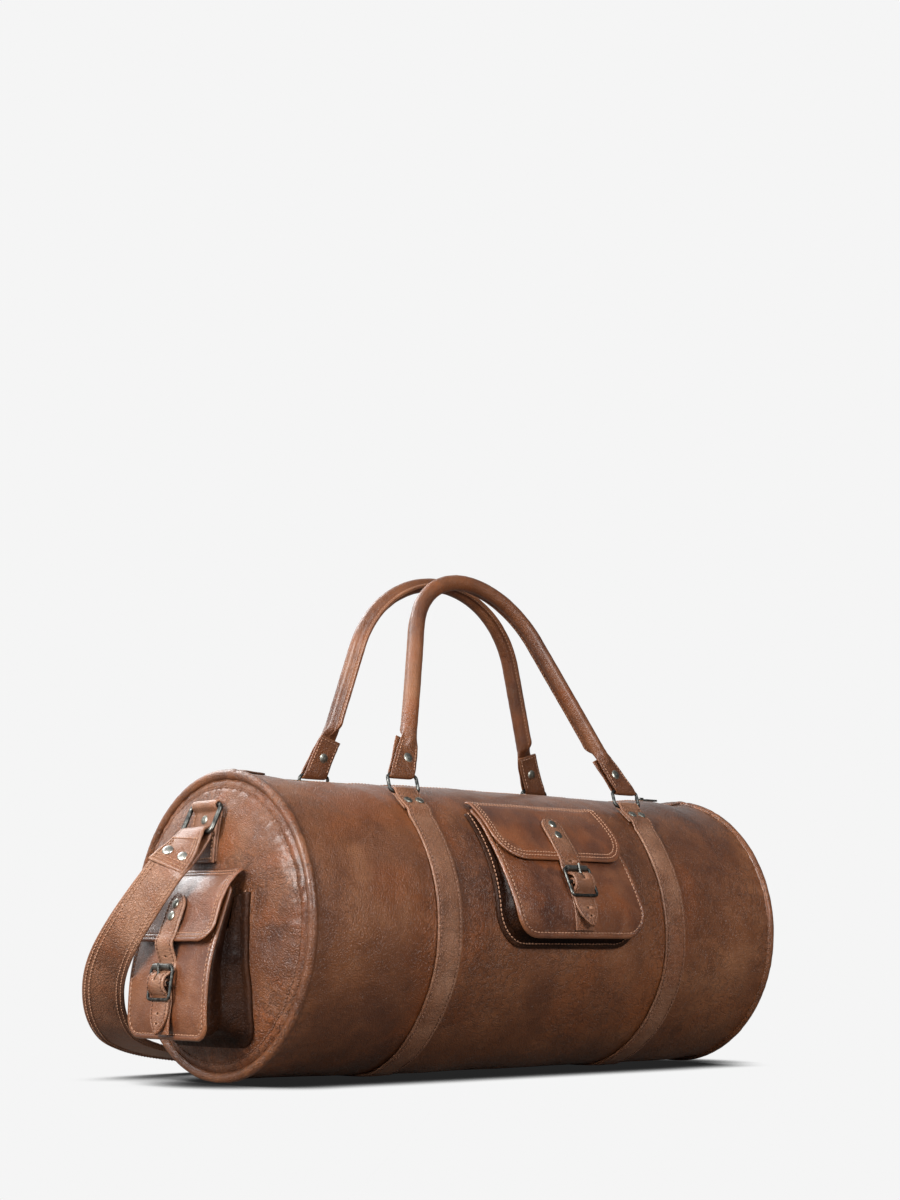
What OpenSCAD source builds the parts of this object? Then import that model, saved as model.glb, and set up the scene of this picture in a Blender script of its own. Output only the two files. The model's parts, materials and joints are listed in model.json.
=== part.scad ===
// Leather weekender bag: a barrel duffel lying on its side.
// X runs along the barrel, the front pocket faces -Y, +Z is up.
// The origin is on the floor under the middle of the bag. Millimetres.

/* [Barrel] */
// Length over the two end pipings
bag_length = 558; // [550:1:566]
// Outer radius of the barrel at its end seams
end_radius = 125; // [124:0.5:126]
// How far the barrel swells at its middle
barrel_bulge = 4; // [3:0.5:4.5]
// How far each end panel puffs out
end_bulge = 17; // [15:0.5:18]
// Thickness of the body leather
leather = 2.4; // [2:0.2:2.6]
// Radius of the end piping
piping_r = 4.3; // [4:0.1:4.5]

/* [Bands and handles] */
// Distance of each band from the middle
band_x = 137; // [134:1:140]
// Width of a band
band_w = 26.5; // [26:0.5:28]
// Angle from the top to the front rings
front_ring_angle = 32; // [31:0.5:33]
// Angle from the top to the back rings
back_ring_angle = 26; // [25:0.5:27]
// Height of a handle over its rings' lower bars
handle_height = 207; // [200:1:212]
// Radius of a rolled handle
handle_r = 6.8; // [6.4:0.1:7]
// How far the front handle leans towards the zip
front_lean = 17; // [15:0.5:18]
// How far the back handle leans towards the zip
back_lean = 6; // [4:0.5:7]

/* [Pockets] */
// Width of the front pocket
front_pocket_w = 155; // [150:1:158]
// Width of an end pocket
end_pocket_w = 112; // [108:1:114]
// Width of a closure strap
closure_w = 25; // [24:0.5:25.5]

/* [Shoulder strap] */
// Width of the shoulder strap
strap_w = 36; // [34:0.5:36.5]
// Thickness of the shoulder strap
strap_t = 3; // [2.6:0.1:3.2]

/* [Hidden] */
$fn = 48;

LEATHER = [0.43, 0.27, 0.19];
LEATHER_DARK = [0.33, 0.20, 0.14];
LEATHER_LIGHT = [0.50, 0.33, 0.24];
GUNMETAL = [0.20, 0.20, 0.19];
PEWTER = [0.46, 0.47, 0.42];
CLOTH = [0.30, 0.25, 0.21];

gap = 0.3;                    // air between neighbouring pieces
running = 0.06;               // radial clearance of a turning fit
flat = 2.8;                   // height of the body leather where it lies flat
axis_z = end_radius + 3;      // height of the barrel's axis
piping_x = bag_length / 2 - piping_r;
piping_ring_r = end_radius - 1.5;
half_panel = piping_x - piping_r - 0.4;
rim_r = piping_ring_r - piping_r - gap;
rim_x = bag_length / 2 - 3;
big = 400;                    // larger than anything that it cuts

// zip
zip_z = axis_z + 120.2;       // underside of the zip tapes
zip_left = -246;
zip_right = 262;
slider_x = 228;
pull_z = zip_z + 7.4;

// rings and rivets
wire_r = 1.5;
ring_w = 32;
ring_h = 15;
ring_corner = 3.5;
rivet_r = 1.5;
rivet_hole_r = 1.6;

// end rings
end_wire_r = 2;
end_ring_w = 42;
end_ring_h = 25;
end_ring_corner = 4;
end_ring_tilt = 25;
end_ring_z = 225;
end_ring_x = face_x(93) + 4.8;

// ---------------------------------------------------------------- shared shapes

function barrel_r(x) = end_radius + barrel_bulge * (1 - pow(x / half_panel, 2));
function face_x(r) = rim_x + end_bulge * (1 - pow(r / rim_r, 4));
function polar(angle, r) = [-r * sin(angle), axis_z + r * cos(angle)];
function unit(v) = v / norm(v);
function inward(p, d) =
    let (v = [p[0], p[1] - axis_z])
    [0, axis_z] + v * (1 - d / norm(v));

// A strip of thickness t along a path of 2D points, as one outline.
function side_step(path, i) =
    let (n = len(path) - 1, d = unit(path[min(i + 1, n)] - path[max(i - 1, 0)]))
    [-d[1], d[0]];
function strip(path, t) = concat(
    [for (i = [0 : len(path) - 1]) path[i] + side_step(path, i) * t / 2],
    [for (i = [len(path) - 1 : -1 : 0]) path[i] - side_step(path, i) * t / 2]
);

// A solid of revolution about the bag's axis; profile points are [radius, x].
module about_axis(profile, from = 0, sweep = 360) {
    translate([0, 0, axis_z]) rotate([0, 90, 0])
        rotate_extrude(angle = sweep, start = from) polygon(profile);
}

// The barrel grown by some amount, cut off flat at a height above the floor.
module barrel(grow, half, low) {
    steps = 8;
    xs = [for (i = [0 : steps]) -half + i * 2 * half / steps];
    intersection() {
        about_axis(concat([[0, -half]], [for (x = xs) [barrel_r(x) + grow, x]], [[0, half]]));
        translate([-half - 1, -big / 2, low]) cube([2 * half + 2, big, big]);
    }
}

// The space behind an end panel's outer surface, grown by some amount.
module face_body(grow, r = rim_r) {
    steps = 8;
    about_axis(concat(
        [[0, 200]],
        [for (i = [0 : steps]) [r * i / steps, face_x(r * i / steps) + grow]],
        [[r, 200]]
    ));
}

// A 2D outline in YZ drawn out along X, centred.
module along_x(width, outline) {
    rotate([90, 0, 90]) linear_extrude(width, center = true) polygon(outline);
}

// A panel outline in XZ with round lower corners, drawn out along Y.
module facing_y(width, low, high, corner, y0, y1) {
    translate([0, y1, 0]) rotate([90, 0, 0]) linear_extrude(y1 - y0) union() {
        translate([-width / 2, low + corner]) square([width, high - low - corner]);
        translate([-width / 2 + corner, low]) square([width - 2 * corner, corner + 1]);
        for (s = [-1, 1]) translate([s * (width / 2 - corner), low + corner]) circle(corner);
    }
}

// Places children on the barrel; local z points outwards.
module on_barrel(angle, x) {
    translate([x, 0, axis_z]) rotate([angle, 0, 0]) children();
}

// Places children drawn for the right end on either end.
module at_end(side) {
    if (side < 0) mirror([1, 0, 0]) children();
    else children();
}

// Turns a frame whose -y is outwards so that it faces the right end.
module outwards() {
    rotate([0, 0, 90]) children();
}

// A rivet standing on z = 0: a shank of the given length under a domed cap.
module rivet(length, cap_r = 4) {
    union() {
        translate([0, 0, -length]) cylinder(r = rivet_r, h = length + 0.5);
        rotate_extrude() polygon([
            [0, 0.1], [cap_r, 0.1], [cap_r, 0.6], [cap_r * 0.8, 1.2], [cap_r * 0.45, 1.6], [0, 1.7]
        ]);
    }
}

module rivet_hole(depth) {
    translate([0, 0, -depth]) cylinder(r = rivet_hole_r, h = depth + 3);
}

// A rounded rectangle of wire in XZ, its lower bar on the X axis.
module wire_ring(w, h, corner, r) {
    for (z = [0, h])
        translate([-w / 2 + corner, 0, z]) rotate([0, 90, 0]) cylinder(r = r, h = w - 2 * corner);
    for (s = [-1, 1])
        translate([s * w / 2, 0, corner]) cylinder(r = r, h = h - 2 * corner);
    for (s = [-1, 1])
        for (top = [0, 1])
            translate([s * (w / 2 - corner), 0, top == 1 ? h - corner : corner])
                rotate([90, 0, 0])
                rotate_extrude(angle = 90, start = (s > 0 ? 0 : 90) + (top == 1 ? 0 : s > 0 ? -90 : 90))
                translate([corner, 0]) circle(r);
}

// A tube round a bar along X.
module loop(inner, outer, length) {
    rotate([0, 90, 0]) difference() {
        cylinder(r = outer, h = length, center = true);
        cylinder(r = inner, h = length + 2, center = true);
    }
}

// ---------------------------------------------------------------- body

module body_panel() color(LEATHER) difference() {
    barrel(0, half_panel, flat);
    barrel(-leather, half_panel + 1, flat + leather);
    translate([zip_left, -7, axis_z + 60]) cube([zip_right - zip_left, 14, 120]);
}

module lining() color(CLOTH) difference() {
    barrel(-leather - 0.6, half_panel - 1.5, flat + leather + 0.6);
    barrel(-leather - 1.6, half_panel - 2.5, flat + leather + 1.6);
    translate([zip_left - 6, -16, axis_z + 60]) cube([zip_right - zip_left + 10, 32, 120]);
}

module end_panel(side) color(LEATHER) at_end(side) {
    steps = 8;
    about_axis(concat(
        [for (i = [0 : steps]) [rim_r * i / steps, face_x(rim_r * i / steps)]],
        [for (i = [steps : -1 : 0]) [rim_r * i / steps, face_x(rim_r * i / steps) - leather]]
    ));
}

module piping(side) color(LEATHER_DARK) at_end(side) {
    translate([0, 0, axis_z]) rotate([0, 90, 0]) rotate_extrude()
        translate([piping_ring_r, piping_x]) difference() {
            circle(piping_r);
            circle(2.3);
            translate([-piping_r - 1, -0.3]) square([piping_r + 1, 0.6]);
        }
}

module piping_cords() color(CLOTH) {
    for (side = [-1, 1]) at_end(side)
        translate([0, 0, axis_z]) rotate([0, 90, 0]) rotate_extrude()
            translate([piping_ring_r, piping_x]) circle(2.1);
}

// ---------------------------------------------------------------- zip

module zip_tapes() color(CLOTH) {
    for (s = [0, 1]) mirror([0, s, 0])
        translate([zip_left - 4, 1.5, zip_z]) cube([zip_right - zip_left + 6, 13.5, 0.8]);
}

// Each coil is a comb: a spine with one tooth a pitch.
module zip_coils() color(GUNMETAL) {
    pitch = 5;
    count = 96;
    x0 = zip_left + 10;
    teeth = [for (i = [0 : count - 1]) for (p = [[0.6, 2.4], [0.6, 1.4], [3.6, 1.4], [3.6, 2.4]])
        [x0 + i * pitch + p[0], p[1]]];
    for (s = [0, 1]) mirror([0, s, 0])
        translate([0, 0, zip_z + 0.9]) linear_extrude(2)
            polygon(concat([[x0, 3.5], [x0, 2.4]], teeth, [[x0 + count * pitch, 2.4], [x0 + count * pitch, 3.5]]));
}

module zip_stops() color(PEWTER) {
    for (x = [zip_left + 5, zip_right - 9])
        for (s = [0, 1]) mirror([0, s, 0])
            translate([x, 1.4, zip_z + 0.9]) cube([4, 2.6, 2.4]);
}

module zip_slider() color(GUNMETAL) translate([slider_x, 0, 0]) difference() {
    union() {
        translate([-8, -5, zip_z + 3.2]) cube([16, 10, 1.4]);
        for (s = [0, 1]) mirror([0, s, 0])
            translate([-8, 3.9, zip_z + 1.1]) cube([16, 1.1, 3]);
        translate([-8, -5, zip_z - 2]) cube([16, 10, 1.4]);
        translate([4, -0.9, zip_z - 1.5]) cube([3, 1.8, 5.5]);
        for (s = [0, 1]) mirror([0, s, 0])
            translate([-2, 2.6, zip_z + 4]) cube([4, 1.4, 5.2]);
        translate([0, 0, pull_z]) rotate([90, 0, 0]) cylinder(r = 0.9, h = 7, center = true);
    }
}

module zip_pull() color(GUNMETAL) translate([slider_x, 0, pull_z]) difference() {
    union() {
        rotate([90, 0, 0]) cylinder(r = 2.1, h = 4.6, center = true);
        translate([1.6, -2.3, -0.8]) cube([6, 4.6, 1.6]);
        translate([7, -3.5, -0.8]) cube([14, 7, 1.6]);
        translate([21, 0, -0.8]) cylinder(r = 3.5, h = 1.6);
    }
    rotate([90, 0, 0]) cylinder(r = 0.9 + running, h = 8, center = true);
    translate([20.5, 0, -2]) cylinder(r = 1.4, h = 4);
}

module zip_end_tabs() color(LEATHER_DARK) {
    for (xs = [[-266, -243], [257.5, 268]]) {
        r0 = barrel_r(xs[0]);
        r1 = barrel_r(xs[1]);
        about_axis([[r0 + 0.5, xs[0]], [r1 + 0.5, xs[1]], [r1 + 2.3, xs[1]], [r0 + 2.3, xs[0]]], 172, 16);
    }
}

// ---------------------------------------------------------------- bands and rings

ring_bar_r = barrel_r(band_x) + 4.7;     // distance of a ring's lower bar from the axis
fold_top = 4.9;                          // height of a band's folded end over the body
fold_step = 6.2;                         // degrees from a ring to its band rivets
rivet_side = 6.3;                        // sideways place of a band's two rivets

module at_fold(angle, side) {
    for (dx = [-rivet_side, rivet_side])
        on_barrel(angle + (angle > 0 ? fold_step : -fold_step), side * band_x + dx)
            translate([0, 0, barrel_r(side * band_x + dx) + fold_top + 0.06]) children();
}

module band(side) color(LEATHER_LIGHT) at_end(side) {
    x0 = band_x - band_w / 2;
    x1 = band_x + band_w / 2;
    lift = [2.3, fold_top];
    difference() {
        union() {
            difference() {
                intersection() {
                    about_axis(
                        [[60, x0], [barrel_r(x0) + 2.7, x0], [barrel_r(x1) + 2.7, x1], [60, x1]],
                        180 + front_ring_angle, 360 - front_ring_angle - back_ring_angle
                    );
                    translate([0, -big / 2, 0]) cube([big, big, big]);
                }
                barrel(gap, half_panel + 5, flat - gap);
            }
            for (a = [180 + front_ring_angle + 1.5, 180 - back_ring_angle - 10.5])
                about_axis([
                    [barrel_r(x0) + lift[0], x0], [barrel_r(x0) + lift[1], x0],
                    [barrel_r(x1) + lift[1], x1], [barrel_r(x1) + lift[0], x1]
                ], a, 9);
            for (a = [front_ring_angle, -back_ring_angle])
                on_barrel(a, band_x) translate([0, 0, ring_bar_r])
                    rotate([0, 90, 0]) cylinder(r = 3.9, h = 24.4, center = true);
        }
        for (a = [front_ring_angle, -back_ring_angle]) {
            on_barrel(a, band_x) translate([0, 0, ring_bar_r])
                rotate([0, 90, 0]) cylinder(r = wire_r + 0.2, h = 30, center = true);
            at_fold(a, 1) rivet_hole(8);
        }
    }
}

module band_rivets() color(PEWTER) {
    for (side = [-1, 1])
        for (a = [front_ring_angle, -back_ring_angle])
            at_fold(a, side) rivet(4.2);
}

// Frames with the ring's lower bar on local X and the handle's plane along local z.
module front_frame() {
    translate(concat([0], polar(front_ring_angle, ring_bar_r))) rotate([-front_lean, 0, 0]) children();
}

module back_frame() {
    translate(concat([0], polar(-back_ring_angle, ring_bar_r))) rotate([back_lean, 0, 0]) children();
}

module handle_ring(side) color(PEWTER) {
    translate([side * band_x, 0, 0]) wire_ring(ring_w, ring_h, ring_corner, wire_r);
}

// ---------------------------------------------------------------- handles

leg_x = 133;                  // where a handle's leg line meets the rings' upper bars
tab_top = 36;                 // length of a handle's flat end
tube_start = 30;              // where the rolled part starts, along the leg
core_r = 4.5;                 // radius of the filler cord

function arc_radius(splay) =
    (leg_x * cos(splay) + ring_h * sin(splay) - handle_height * sin(splay)) / (1 - sin(splay));
function arc_centre(splay) = handle_height - arc_radius(splay);
function leg_length(splay) = norm([
    leg_x - arc_radius(splay) * cos(splay),
    arc_centre(splay) + arc_radius(splay) * sin(splay) - ring_h
]);

// A round bar along a handle's two legs and arc. Each leg is a hair thinner than
// the arc and runs a little into it, so that the three join as one solid.
leg_step = 0.05;
leg_overlap = 1;
module handle_bar(splay, r, start) {
    for (s = [0, 1]) mirror([s, 0, 0])
        translate([leg_x, 0, ring_h]) rotate([0, -splay, 0])
            translate([0, 0, start])
            cylinder(r = r - leg_step, h = leg_length(splay) - start + leg_overlap);
    translate([0, 0, arc_centre(splay)]) rotate([90, 0, 0])
        rotate_extrude(angle = 180 - 2 * splay, start = splay)
        translate([arc_radius(splay), 0]) circle(r);
}

// The stitched seam that stands out along one side of the roll.
module handle_seam(splay, side) {
    depth = 6;
    width = 3;
    y0 = side > 0 ? handle_r - 1 : -handle_r + 1 - depth;
    for (s = [0, 1]) mirror([s, 0, 0])
        translate([leg_x, 0, ring_h]) rotate([0, -splay, 0])
            translate([-width / 2 + leg_step, y0 + leg_step, tube_start + 6])
            cube([width - 2 * leg_step, depth - 2 * leg_step, leg_length(splay) - tube_start - 5]);
    translate([0, 0, arc_centre(splay)]) rotate([90, 0, 0])
        rotate_extrude(angle = 180 - 2 * splay, start = splay)
        translate([arc_radius(splay) - width / 2, -y0 - depth]) square([width, depth]);
}

module tab_rivet_place(splay) {
    for (s = [0, 1]) mirror([s, 0, 0])
        translate([leg_x + 1.5, 0, ring_h]) rotate([0, -splay, 0])
            translate([0, 0, 17]) children();
}

module handle_cover(splay, side) color(LEATHER) {
    tab_t = 5;
    top = [leg_x - tab_top * sin(splay), ring_h + tab_top * cos(splay)];
    difference() {
        union() {
            handle_bar(splay, handle_r, tube_start);
            handle_seam(splay, side);
            for (s = [0, 1]) mirror([s, 0, 0]) {
                translate([band_x, 0, ring_h]) rotate([0, 90, 0])
                    cylinder(r = 3.9, h = 24, center = true);
                translate([0, tab_t / 2, 0]) rotate([90, 0, 0]) linear_extrude(tab_t) polygon([
                    [band_x - 12, ring_h + 2.2], [band_x + 12, ring_h + 2.2],
                    top + 11 * [cos(splay), sin(splay)], top - 11 * [cos(splay), sin(splay)]
                ]);
            }
        }
        handle_bar(splay, core_r + 0.1, tube_start + 4);
        for (s = [-1, 1])
            translate([s * band_x, 0, ring_h]) rotate([0, 90, 0])
                cylinder(r = wire_r + 0.2, h = 40, center = true);
        tab_rivet_place(splay) rotate([90, 0, 0]) cylinder(r = rivet_hole_r, h = 20, center = true);
    }
}

module handle_core(splay) color(CLOTH) {
    handle_bar(splay, core_r, tube_start + 4.5);
}

module handle_rivets(splay) color(PEWTER) {
    tab_rivet_place(splay) {
        rotate([90, 0, 0]) translate([0, 0, 2.5]) rivet(5, 4.5);
        rotate([-90, 0, 0]) translate([0, 0, 2.5]) rivet(2, 4.5);
    }
}

// ---------------------------------------------------------------- closures

// A closure is drawn in its own frame: the centre bar lies on X, z runs up the
// strap towards the roller and -y is outwards.
frame_w = 30;
frame_half_h = 13;
frame_wire_r = 1.3;
roller_out_r = 2.7;
tongue_half_w = 1.5;

module buckle_frame() color(GUNMETAL) {
    translate([0, 0, -frame_half_h]) wire_ring(frame_w, 2 * frame_half_h, 3, frame_wire_r);
    rotate([0, 90, 0]) cylinder(r = frame_wire_r, h = frame_w, center = true);
}

module buckle_roller() color(GUNMETAL) {
    translate([0, 0, frame_half_h]) loop(frame_wire_r + running, roller_out_r, 23);
}

module buckle_tongue() color(GUNMETAL) {
    start = [0, -2.0, 1.6];
    reach = 14.2;
    lean = 10.6;
    difference() {
        union() {
            rotate([0, 90, 0]) cylinder(r = 2.4, h = 2 * tongue_half_w, center = true);
            translate(start) rotate([lean, 0, 0]) cylinder(r = 1.1, h = reach);
        }
        rotate([0, 90, 0]) cylinder(r = frame_wire_r + running, h = 8, center = true);
    }
}

// The chape: a strip folded round the centre bar and sewn into the pocket's seam.
module chape(path) color(LEATHER_LIGHT) {
    chape_w = 22;
    difference() {
        union() {
            rotate([0, 90, 0]) cylinder(r = 3.6, h = chape_w, center = true);
            along_x(chape_w, strip(path, 2));
        }
        rotate([0, 90, 0]) cylinder(r = frame_wire_r + gap, h = chape_w + 2, center = true);
        translate([-tongue_half_w - gap, -6, -3]) cube([2 * (tongue_half_w + gap), 9, 9]);
    }
}

// The outline of a closure strap seen from the front: ogive tip, round top.
module closure_outline(tip, shoulder, top) {
    half = closure_w / 2;
    ogive = [for (i = [0 : 6]) let (k = i / 6) [half * sin(90 * k), tip + (shoulder - tip) * pow(k, 1.6)]];
    translate([0, 40, 0]) rotate([90, 0, 0]) linear_extrude(100) union() {
        polygon(concat(ogive, [[half, top - half]], [[-half, top - half]],
            [for (i = [6 : -1 : 1]) [-ogive[i][0], ogive[i][1]]]));
        translate([0, top - half]) circle(half);
    }
}

// The part of a closure strap that is threaded through the buckle.
threaded = [[2.8, -40], [2.8, -16], [2.4, -11], [-4.2, -4.5], [-5.1, 0], [-4.2, 4.5], [3.4, 10.2],
    [4.2, 13.2], [4.6, 18]];

function placed(p, centre, tilt) =
    centre + [p[0] * cos(tilt) - p[1] * sin(tilt), p[0] * sin(tilt) + p[1] * cos(tilt)];

// The slot that the tongue passes through, and the adjusting holes.
module strap_holes() {
    translate([-2, -10, 1]) cube([4, 20, 10]);
    for (z = [-24, -32])
        translate([0, 10, z]) rotate([90, 0, 0]) cylinder(r = 1.2, h = 30);
}

// ---------------------------------------------------------------- front pocket

front_centre = [-144.3, 165.6];
front_tilt = -26;
front_face = [[-148, 117], [-147, 141], [-131, 173.5], [-113.2, 200], [-99, 217.6], [-82.5, 230.9]];
front_low = 117;
front_corner = 24;
front_hinge = polar(36, barrel_r(0) + 2.4);
flap_inside = [[36.6, 1.2], [40, 3.9], [48, 5.3], [57.5, 6.7], [66, 9.6]];

module at_front_buckle() {
    translate(concat([0], front_centre)) rotate([front_tilt, 0, 0]) children();
}

module front_pocket_panel() color(LEATHER) {
    inner = [for (p = front_face) inward(p, 2.4)];
    n = len(inner) - 1;
    intersection() {
        along_x(200, concat(front_face, [for (i = [n : -1 : 0]) inner[i]]));
        facing_y(front_pocket_w, front_low, 227, front_corner, -200, 0);
    }
}

module front_pocket_gusset() color(LEATHER_DARK) {
    w = front_pocket_w - 3;
    back = [for (p = front_face) inward(p, 2.4 + gap)];
    difference() {
        union() {
            intersection() {
                facing_y(w, front_low + 1.5, 226, front_corner, -200, -60);
                along_x(200, concat([[back[0][0], 100]], back, [[-40, back[5][1]], [-40, 100]]));
            }
            intersection() {
                facing_y(front_pocket_w, front_low - 8, 200, front_corner + 6, -200, -60);
                barrel(2.3, half_panel + 5, 0);
            }
        }
        facing_y(w - 4.4, front_low + 3.7, 300, front_corner - 2.2, -201, -30);
        barrel(gap, half_panel + 6, 0);
    }
}

module front_pocket_flap() color(LEATHER) {
    inner = [for (p = flap_inside) polar(p[0], barrel_r(0) + p[1])];
    outer = [for (p = flap_inside) polar(p[0], barrel_r(0) + p[1] + 2.4)];
    n = len(inner) - 1;
    difference() {
        union() {
            intersection() {
                along_x(200, concat(outer, [for (i = [n : -1 : 0]) inner[i]]));
                facing_y(front_pocket_w + 1, outer[n][1], 260, 30, -200, 0);
            }
            translate(concat([0], front_hinge)) rotate([0, 90, 0])
                cylinder(r = 1.4, h = front_pocket_w - 4, center = true);
        }
        front_rivet_places() rivet_hole(8);
    }
}

function front_strap_path() = concat(
    [for (p = threaded) placed(p, front_centre, front_tilt)],
    [polar(65, barrel_r(0) + 13.5), polar(57.5, barrel_r(0) + 10.7), polar(48, barrel_r(0) + 9.4)]
);

module front_rivet_places() {
    for (a = [51, 56])
        on_barrel(a, 0) translate([0, 0, barrel_r(0) + 11.8]) children();
}

module front_pocket_strap() color(LEATHER_LIGHT) difference() {
    intersection() {
        along_x(closure_w, strip(front_strap_path(), 2.4));
        at_front_buckle() closure_outline(-42, -24, 64);
    }
    at_front_buckle() strap_holes();
    front_rivet_places() rivet_hole(8);
}

module front_pocket_chape() at_front_buckle()
    chape([[2.6, 0], [4.0, -4], [5.4, -9], [6.2, -21], [14.8, -43]]);

module front_pocket_rivets() color(PEWTER) {
    front_rivet_places() rivet(6);
}

// ---------------------------------------------------------------- end pockets

// Drawn in a frame whose -y is outwards and whose z is the height.
end_centre = [-333.5, 81];
end_tilt = -8;
end_face = [[-326, 36], [-328, 60], [-324, 100], [-306, 155]];
end_low = 36;
end_corner = 14;
end_hinge = [-294.9, 172];
end_flap_inside = [[-293.9, 171.4], [-307.4, 157.5], [-313.6, 146], [-325.8, 114]];
end_flap_lean = 21;

module at_end_buckle() {
    translate(concat([0], end_centre)) rotate([end_tilt, 0, 0]) children();
}

module end_pocket_panel() color(LEATHER) outwards() {
    intersection() {
        along_x(200, concat(end_face, [for (i = [3 : -1 : 0]) end_face[i] + [2.4, 0]]));
        facing_y(end_pocket_w, end_low, 160, end_corner, -400, -250);
    }
}

module end_pocket_gusset() color(LEATHER_DARK) difference() {
    union() {
        outwards() intersection() {
            facing_y(end_pocket_w - 3, end_low + 1.5, 152, end_corner, -400, -250);
            along_x(200, concat([[-328 + 2.4 + gap, 30]],
                [for (p = end_face) p + [2.4 + gap, 0]], [[-270, 155], [-270, 30]]));
        }
        intersection() {
            outwards() facing_y(end_pocket_w + 7, end_low - 4, 152, end_corner + 4, -400, -250);
            face_body(2.3);
        }
    }
    outwards() facing_y(end_pocket_w - 7.4, end_low + 3.7, 200, end_corner - 2.2, -401, -240);
    face_body(gap);
}

module end_rivet_places() outwards() {
    for (z = [133.5, 143.5])
        translate([0, -321.9 + (z - 133.5) * 0.39, z]) rotate([90 - end_flap_lean, 0, 0])
            translate([0, 0, 2.4]) children();
}

module end_pocket_flap() color(LEATHER) difference() {
    union() {
        outwards() intersection() {
            along_x(200, strip([for (p = end_flap_inside) p + [-1.2, 0.4]], 2.4));
            facing_y(end_pocket_w + 3, 113.5, 180, 14, -400, -250);
        }
        outwards() translate(concat([0], end_hinge)) rotate([0, 90, 0])
            cylinder(r = 1.4, h = end_pocket_w - 6, center = true);
    }
    end_rivet_places() rivet_hole(8);
}

module end_pocket_strap() color(LEATHER_LIGHT) difference() {
    path = concat([for (p = threaded) placed(p, end_centre, end_tilt)],
        [[-330.6, 113], [-318.0, 146], [-315.0, 153.5]]);
    outwards() intersection() {
        along_x(closure_w, strip(path, 2.4));
        at_end_buckle() closure_outline(-42, -24, 72);
    }
    outwards() at_end_buckle() strap_holes();
    end_rivet_places() rivet_hole(8);
}

module end_pocket_chape() outwards() at_end_buckle()
    chape([[2.6, 0], [4.0, -4], [5.4, -9], [5.6, -30], [9.5, -44]]);

module end_pocket_rivets() color(PEWTER) {
    end_rivet_places() rivet(6.5);
}

// ---------------------------------------------------------------- shoulder strap

tab_slope = 13;                // how far the riveted part of the tab leans back, in degrees

module anchor_rivet_place() {
    translate([face_x(85) + 4.95, 0, 213]) rotate([0, 90 - tab_slope, 0]) children();
}

module strap_anchor() color(LEATHER_LIGHT) difference() {
    union() {
        outwards() along_x(strap_w, strip(
            [for (z = [179, 189, 199, 209, 222.5]) [-(face_x(z - axis_z) + 2.7), z]], 4.4));
        translate([end_ring_x, 0, end_ring_z]) rotate([90, 0, 0])
            cylinder(r = 4.4, h = 33, center = true);
    }
    translate([end_ring_x, 0, end_ring_z]) rotate([90, 0, 0])
        cylinder(r = end_wire_r + 0.2, h = 50, center = true);
    anchor_rivet_place() rivet_hole(9);
}

module anchor_rivets() color(PEWTER) {
    for (side = [-1, 1]) at_end(side) anchor_rivet_place() rivet(4.2);
}

// The ring hangs from its upper bar and leans out.
module end_ring() color(GUNMETAL) {
    translate([end_ring_x, 0, end_ring_z]) outwards() rotate([-end_ring_tilt, 0, 0])
        translate([0, 0, -end_ring_h]) wire_ring(end_ring_w, end_ring_h, end_ring_corner, end_wire_r);
}

// Half of the shoulder strap's centre line, as [point, outward face direction],
// from the folded end round the right ring down to the floor behind the bag.
bar = [end_ring_x + end_ring_h * sin(end_ring_tilt), 0, end_ring_z - end_ring_h * cos(end_ring_tilt)];
down = [0.70, 0, -0.714];
out = [0.714, 0, 0.70];
fold_length = 40;
strap_rest_y = 142.397;       // where the strap lies on the floor behind the bag
half_strap = [
    [bar + down * fold_length - out * 3.4, out], [bar + down * 22 - out * 3.9, out],
    [bar + down * 7 - out * 4.7, out], [bar - down * 1 - out * 4.6, unit(out - down * 0.3)],
    [bar - down * 4.8, -down], [bar - down * 1 + out * 4.6, -unit(-out + down * 0.3)],
    [bar + down * 7 + out * 4.8, out], [bar + down * 22 + out * 1.4, out],
    [bar + down * fold_length + out * 0.6 + [0, 3, 0], out],
    [[346, 32, 126], [0.85, -0.5, 0.05]], [[343, 65, 93], [0.75, -0.62, -0.2]],
    [[331, 88, 66], [0.65, -0.6, -0.45]], [[311, 106, 43], [0.5, -0.45, -0.75]],
    [[284, 121, 29], [0.3, -0.3, -0.9]], [[236, 133, 18], [0.1, -0.2, -0.98]],
    [[150, 140.5, 7], [0, -0.05, -1]], [[60, strap_rest_y, 3], [0, 0, -1]],
    [[0, strap_rest_y, 3], [0, 0, -1]]
];

// The other half is its mirror image.
function mirrored(k) = [[-k[0][0], k[0][1], k[0][2]], [-k[1][0], k[1][1], k[1][2]]];
strap_keys = concat(half_strap, [for (i = [len(half_strap) - 2 : -1 : 0]) mirrored(half_strap[i])]);

// A smooth curve through the keys.
function smooth(a, b, c, d, t) =
    0.5 * (2 * b + (c - a) * t + (2 * a - 5 * b + 4 * c - d) * t * t + (3 * b - a - 3 * c + d) * t * t * t);
function curve(keys, part, per) = [
    for (i = [0 : len(keys) - 2]) for (j = [0 : (i == len(keys) - 2 ? per : per - 1)])
        let (n = len(keys) - 1, a = keys[max(i - 1, 0)], d = keys[min(i + 2, n)])
        smooth(a[part], keys[i][part], keys[i + 1][part], d[part], j / per)
];

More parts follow.
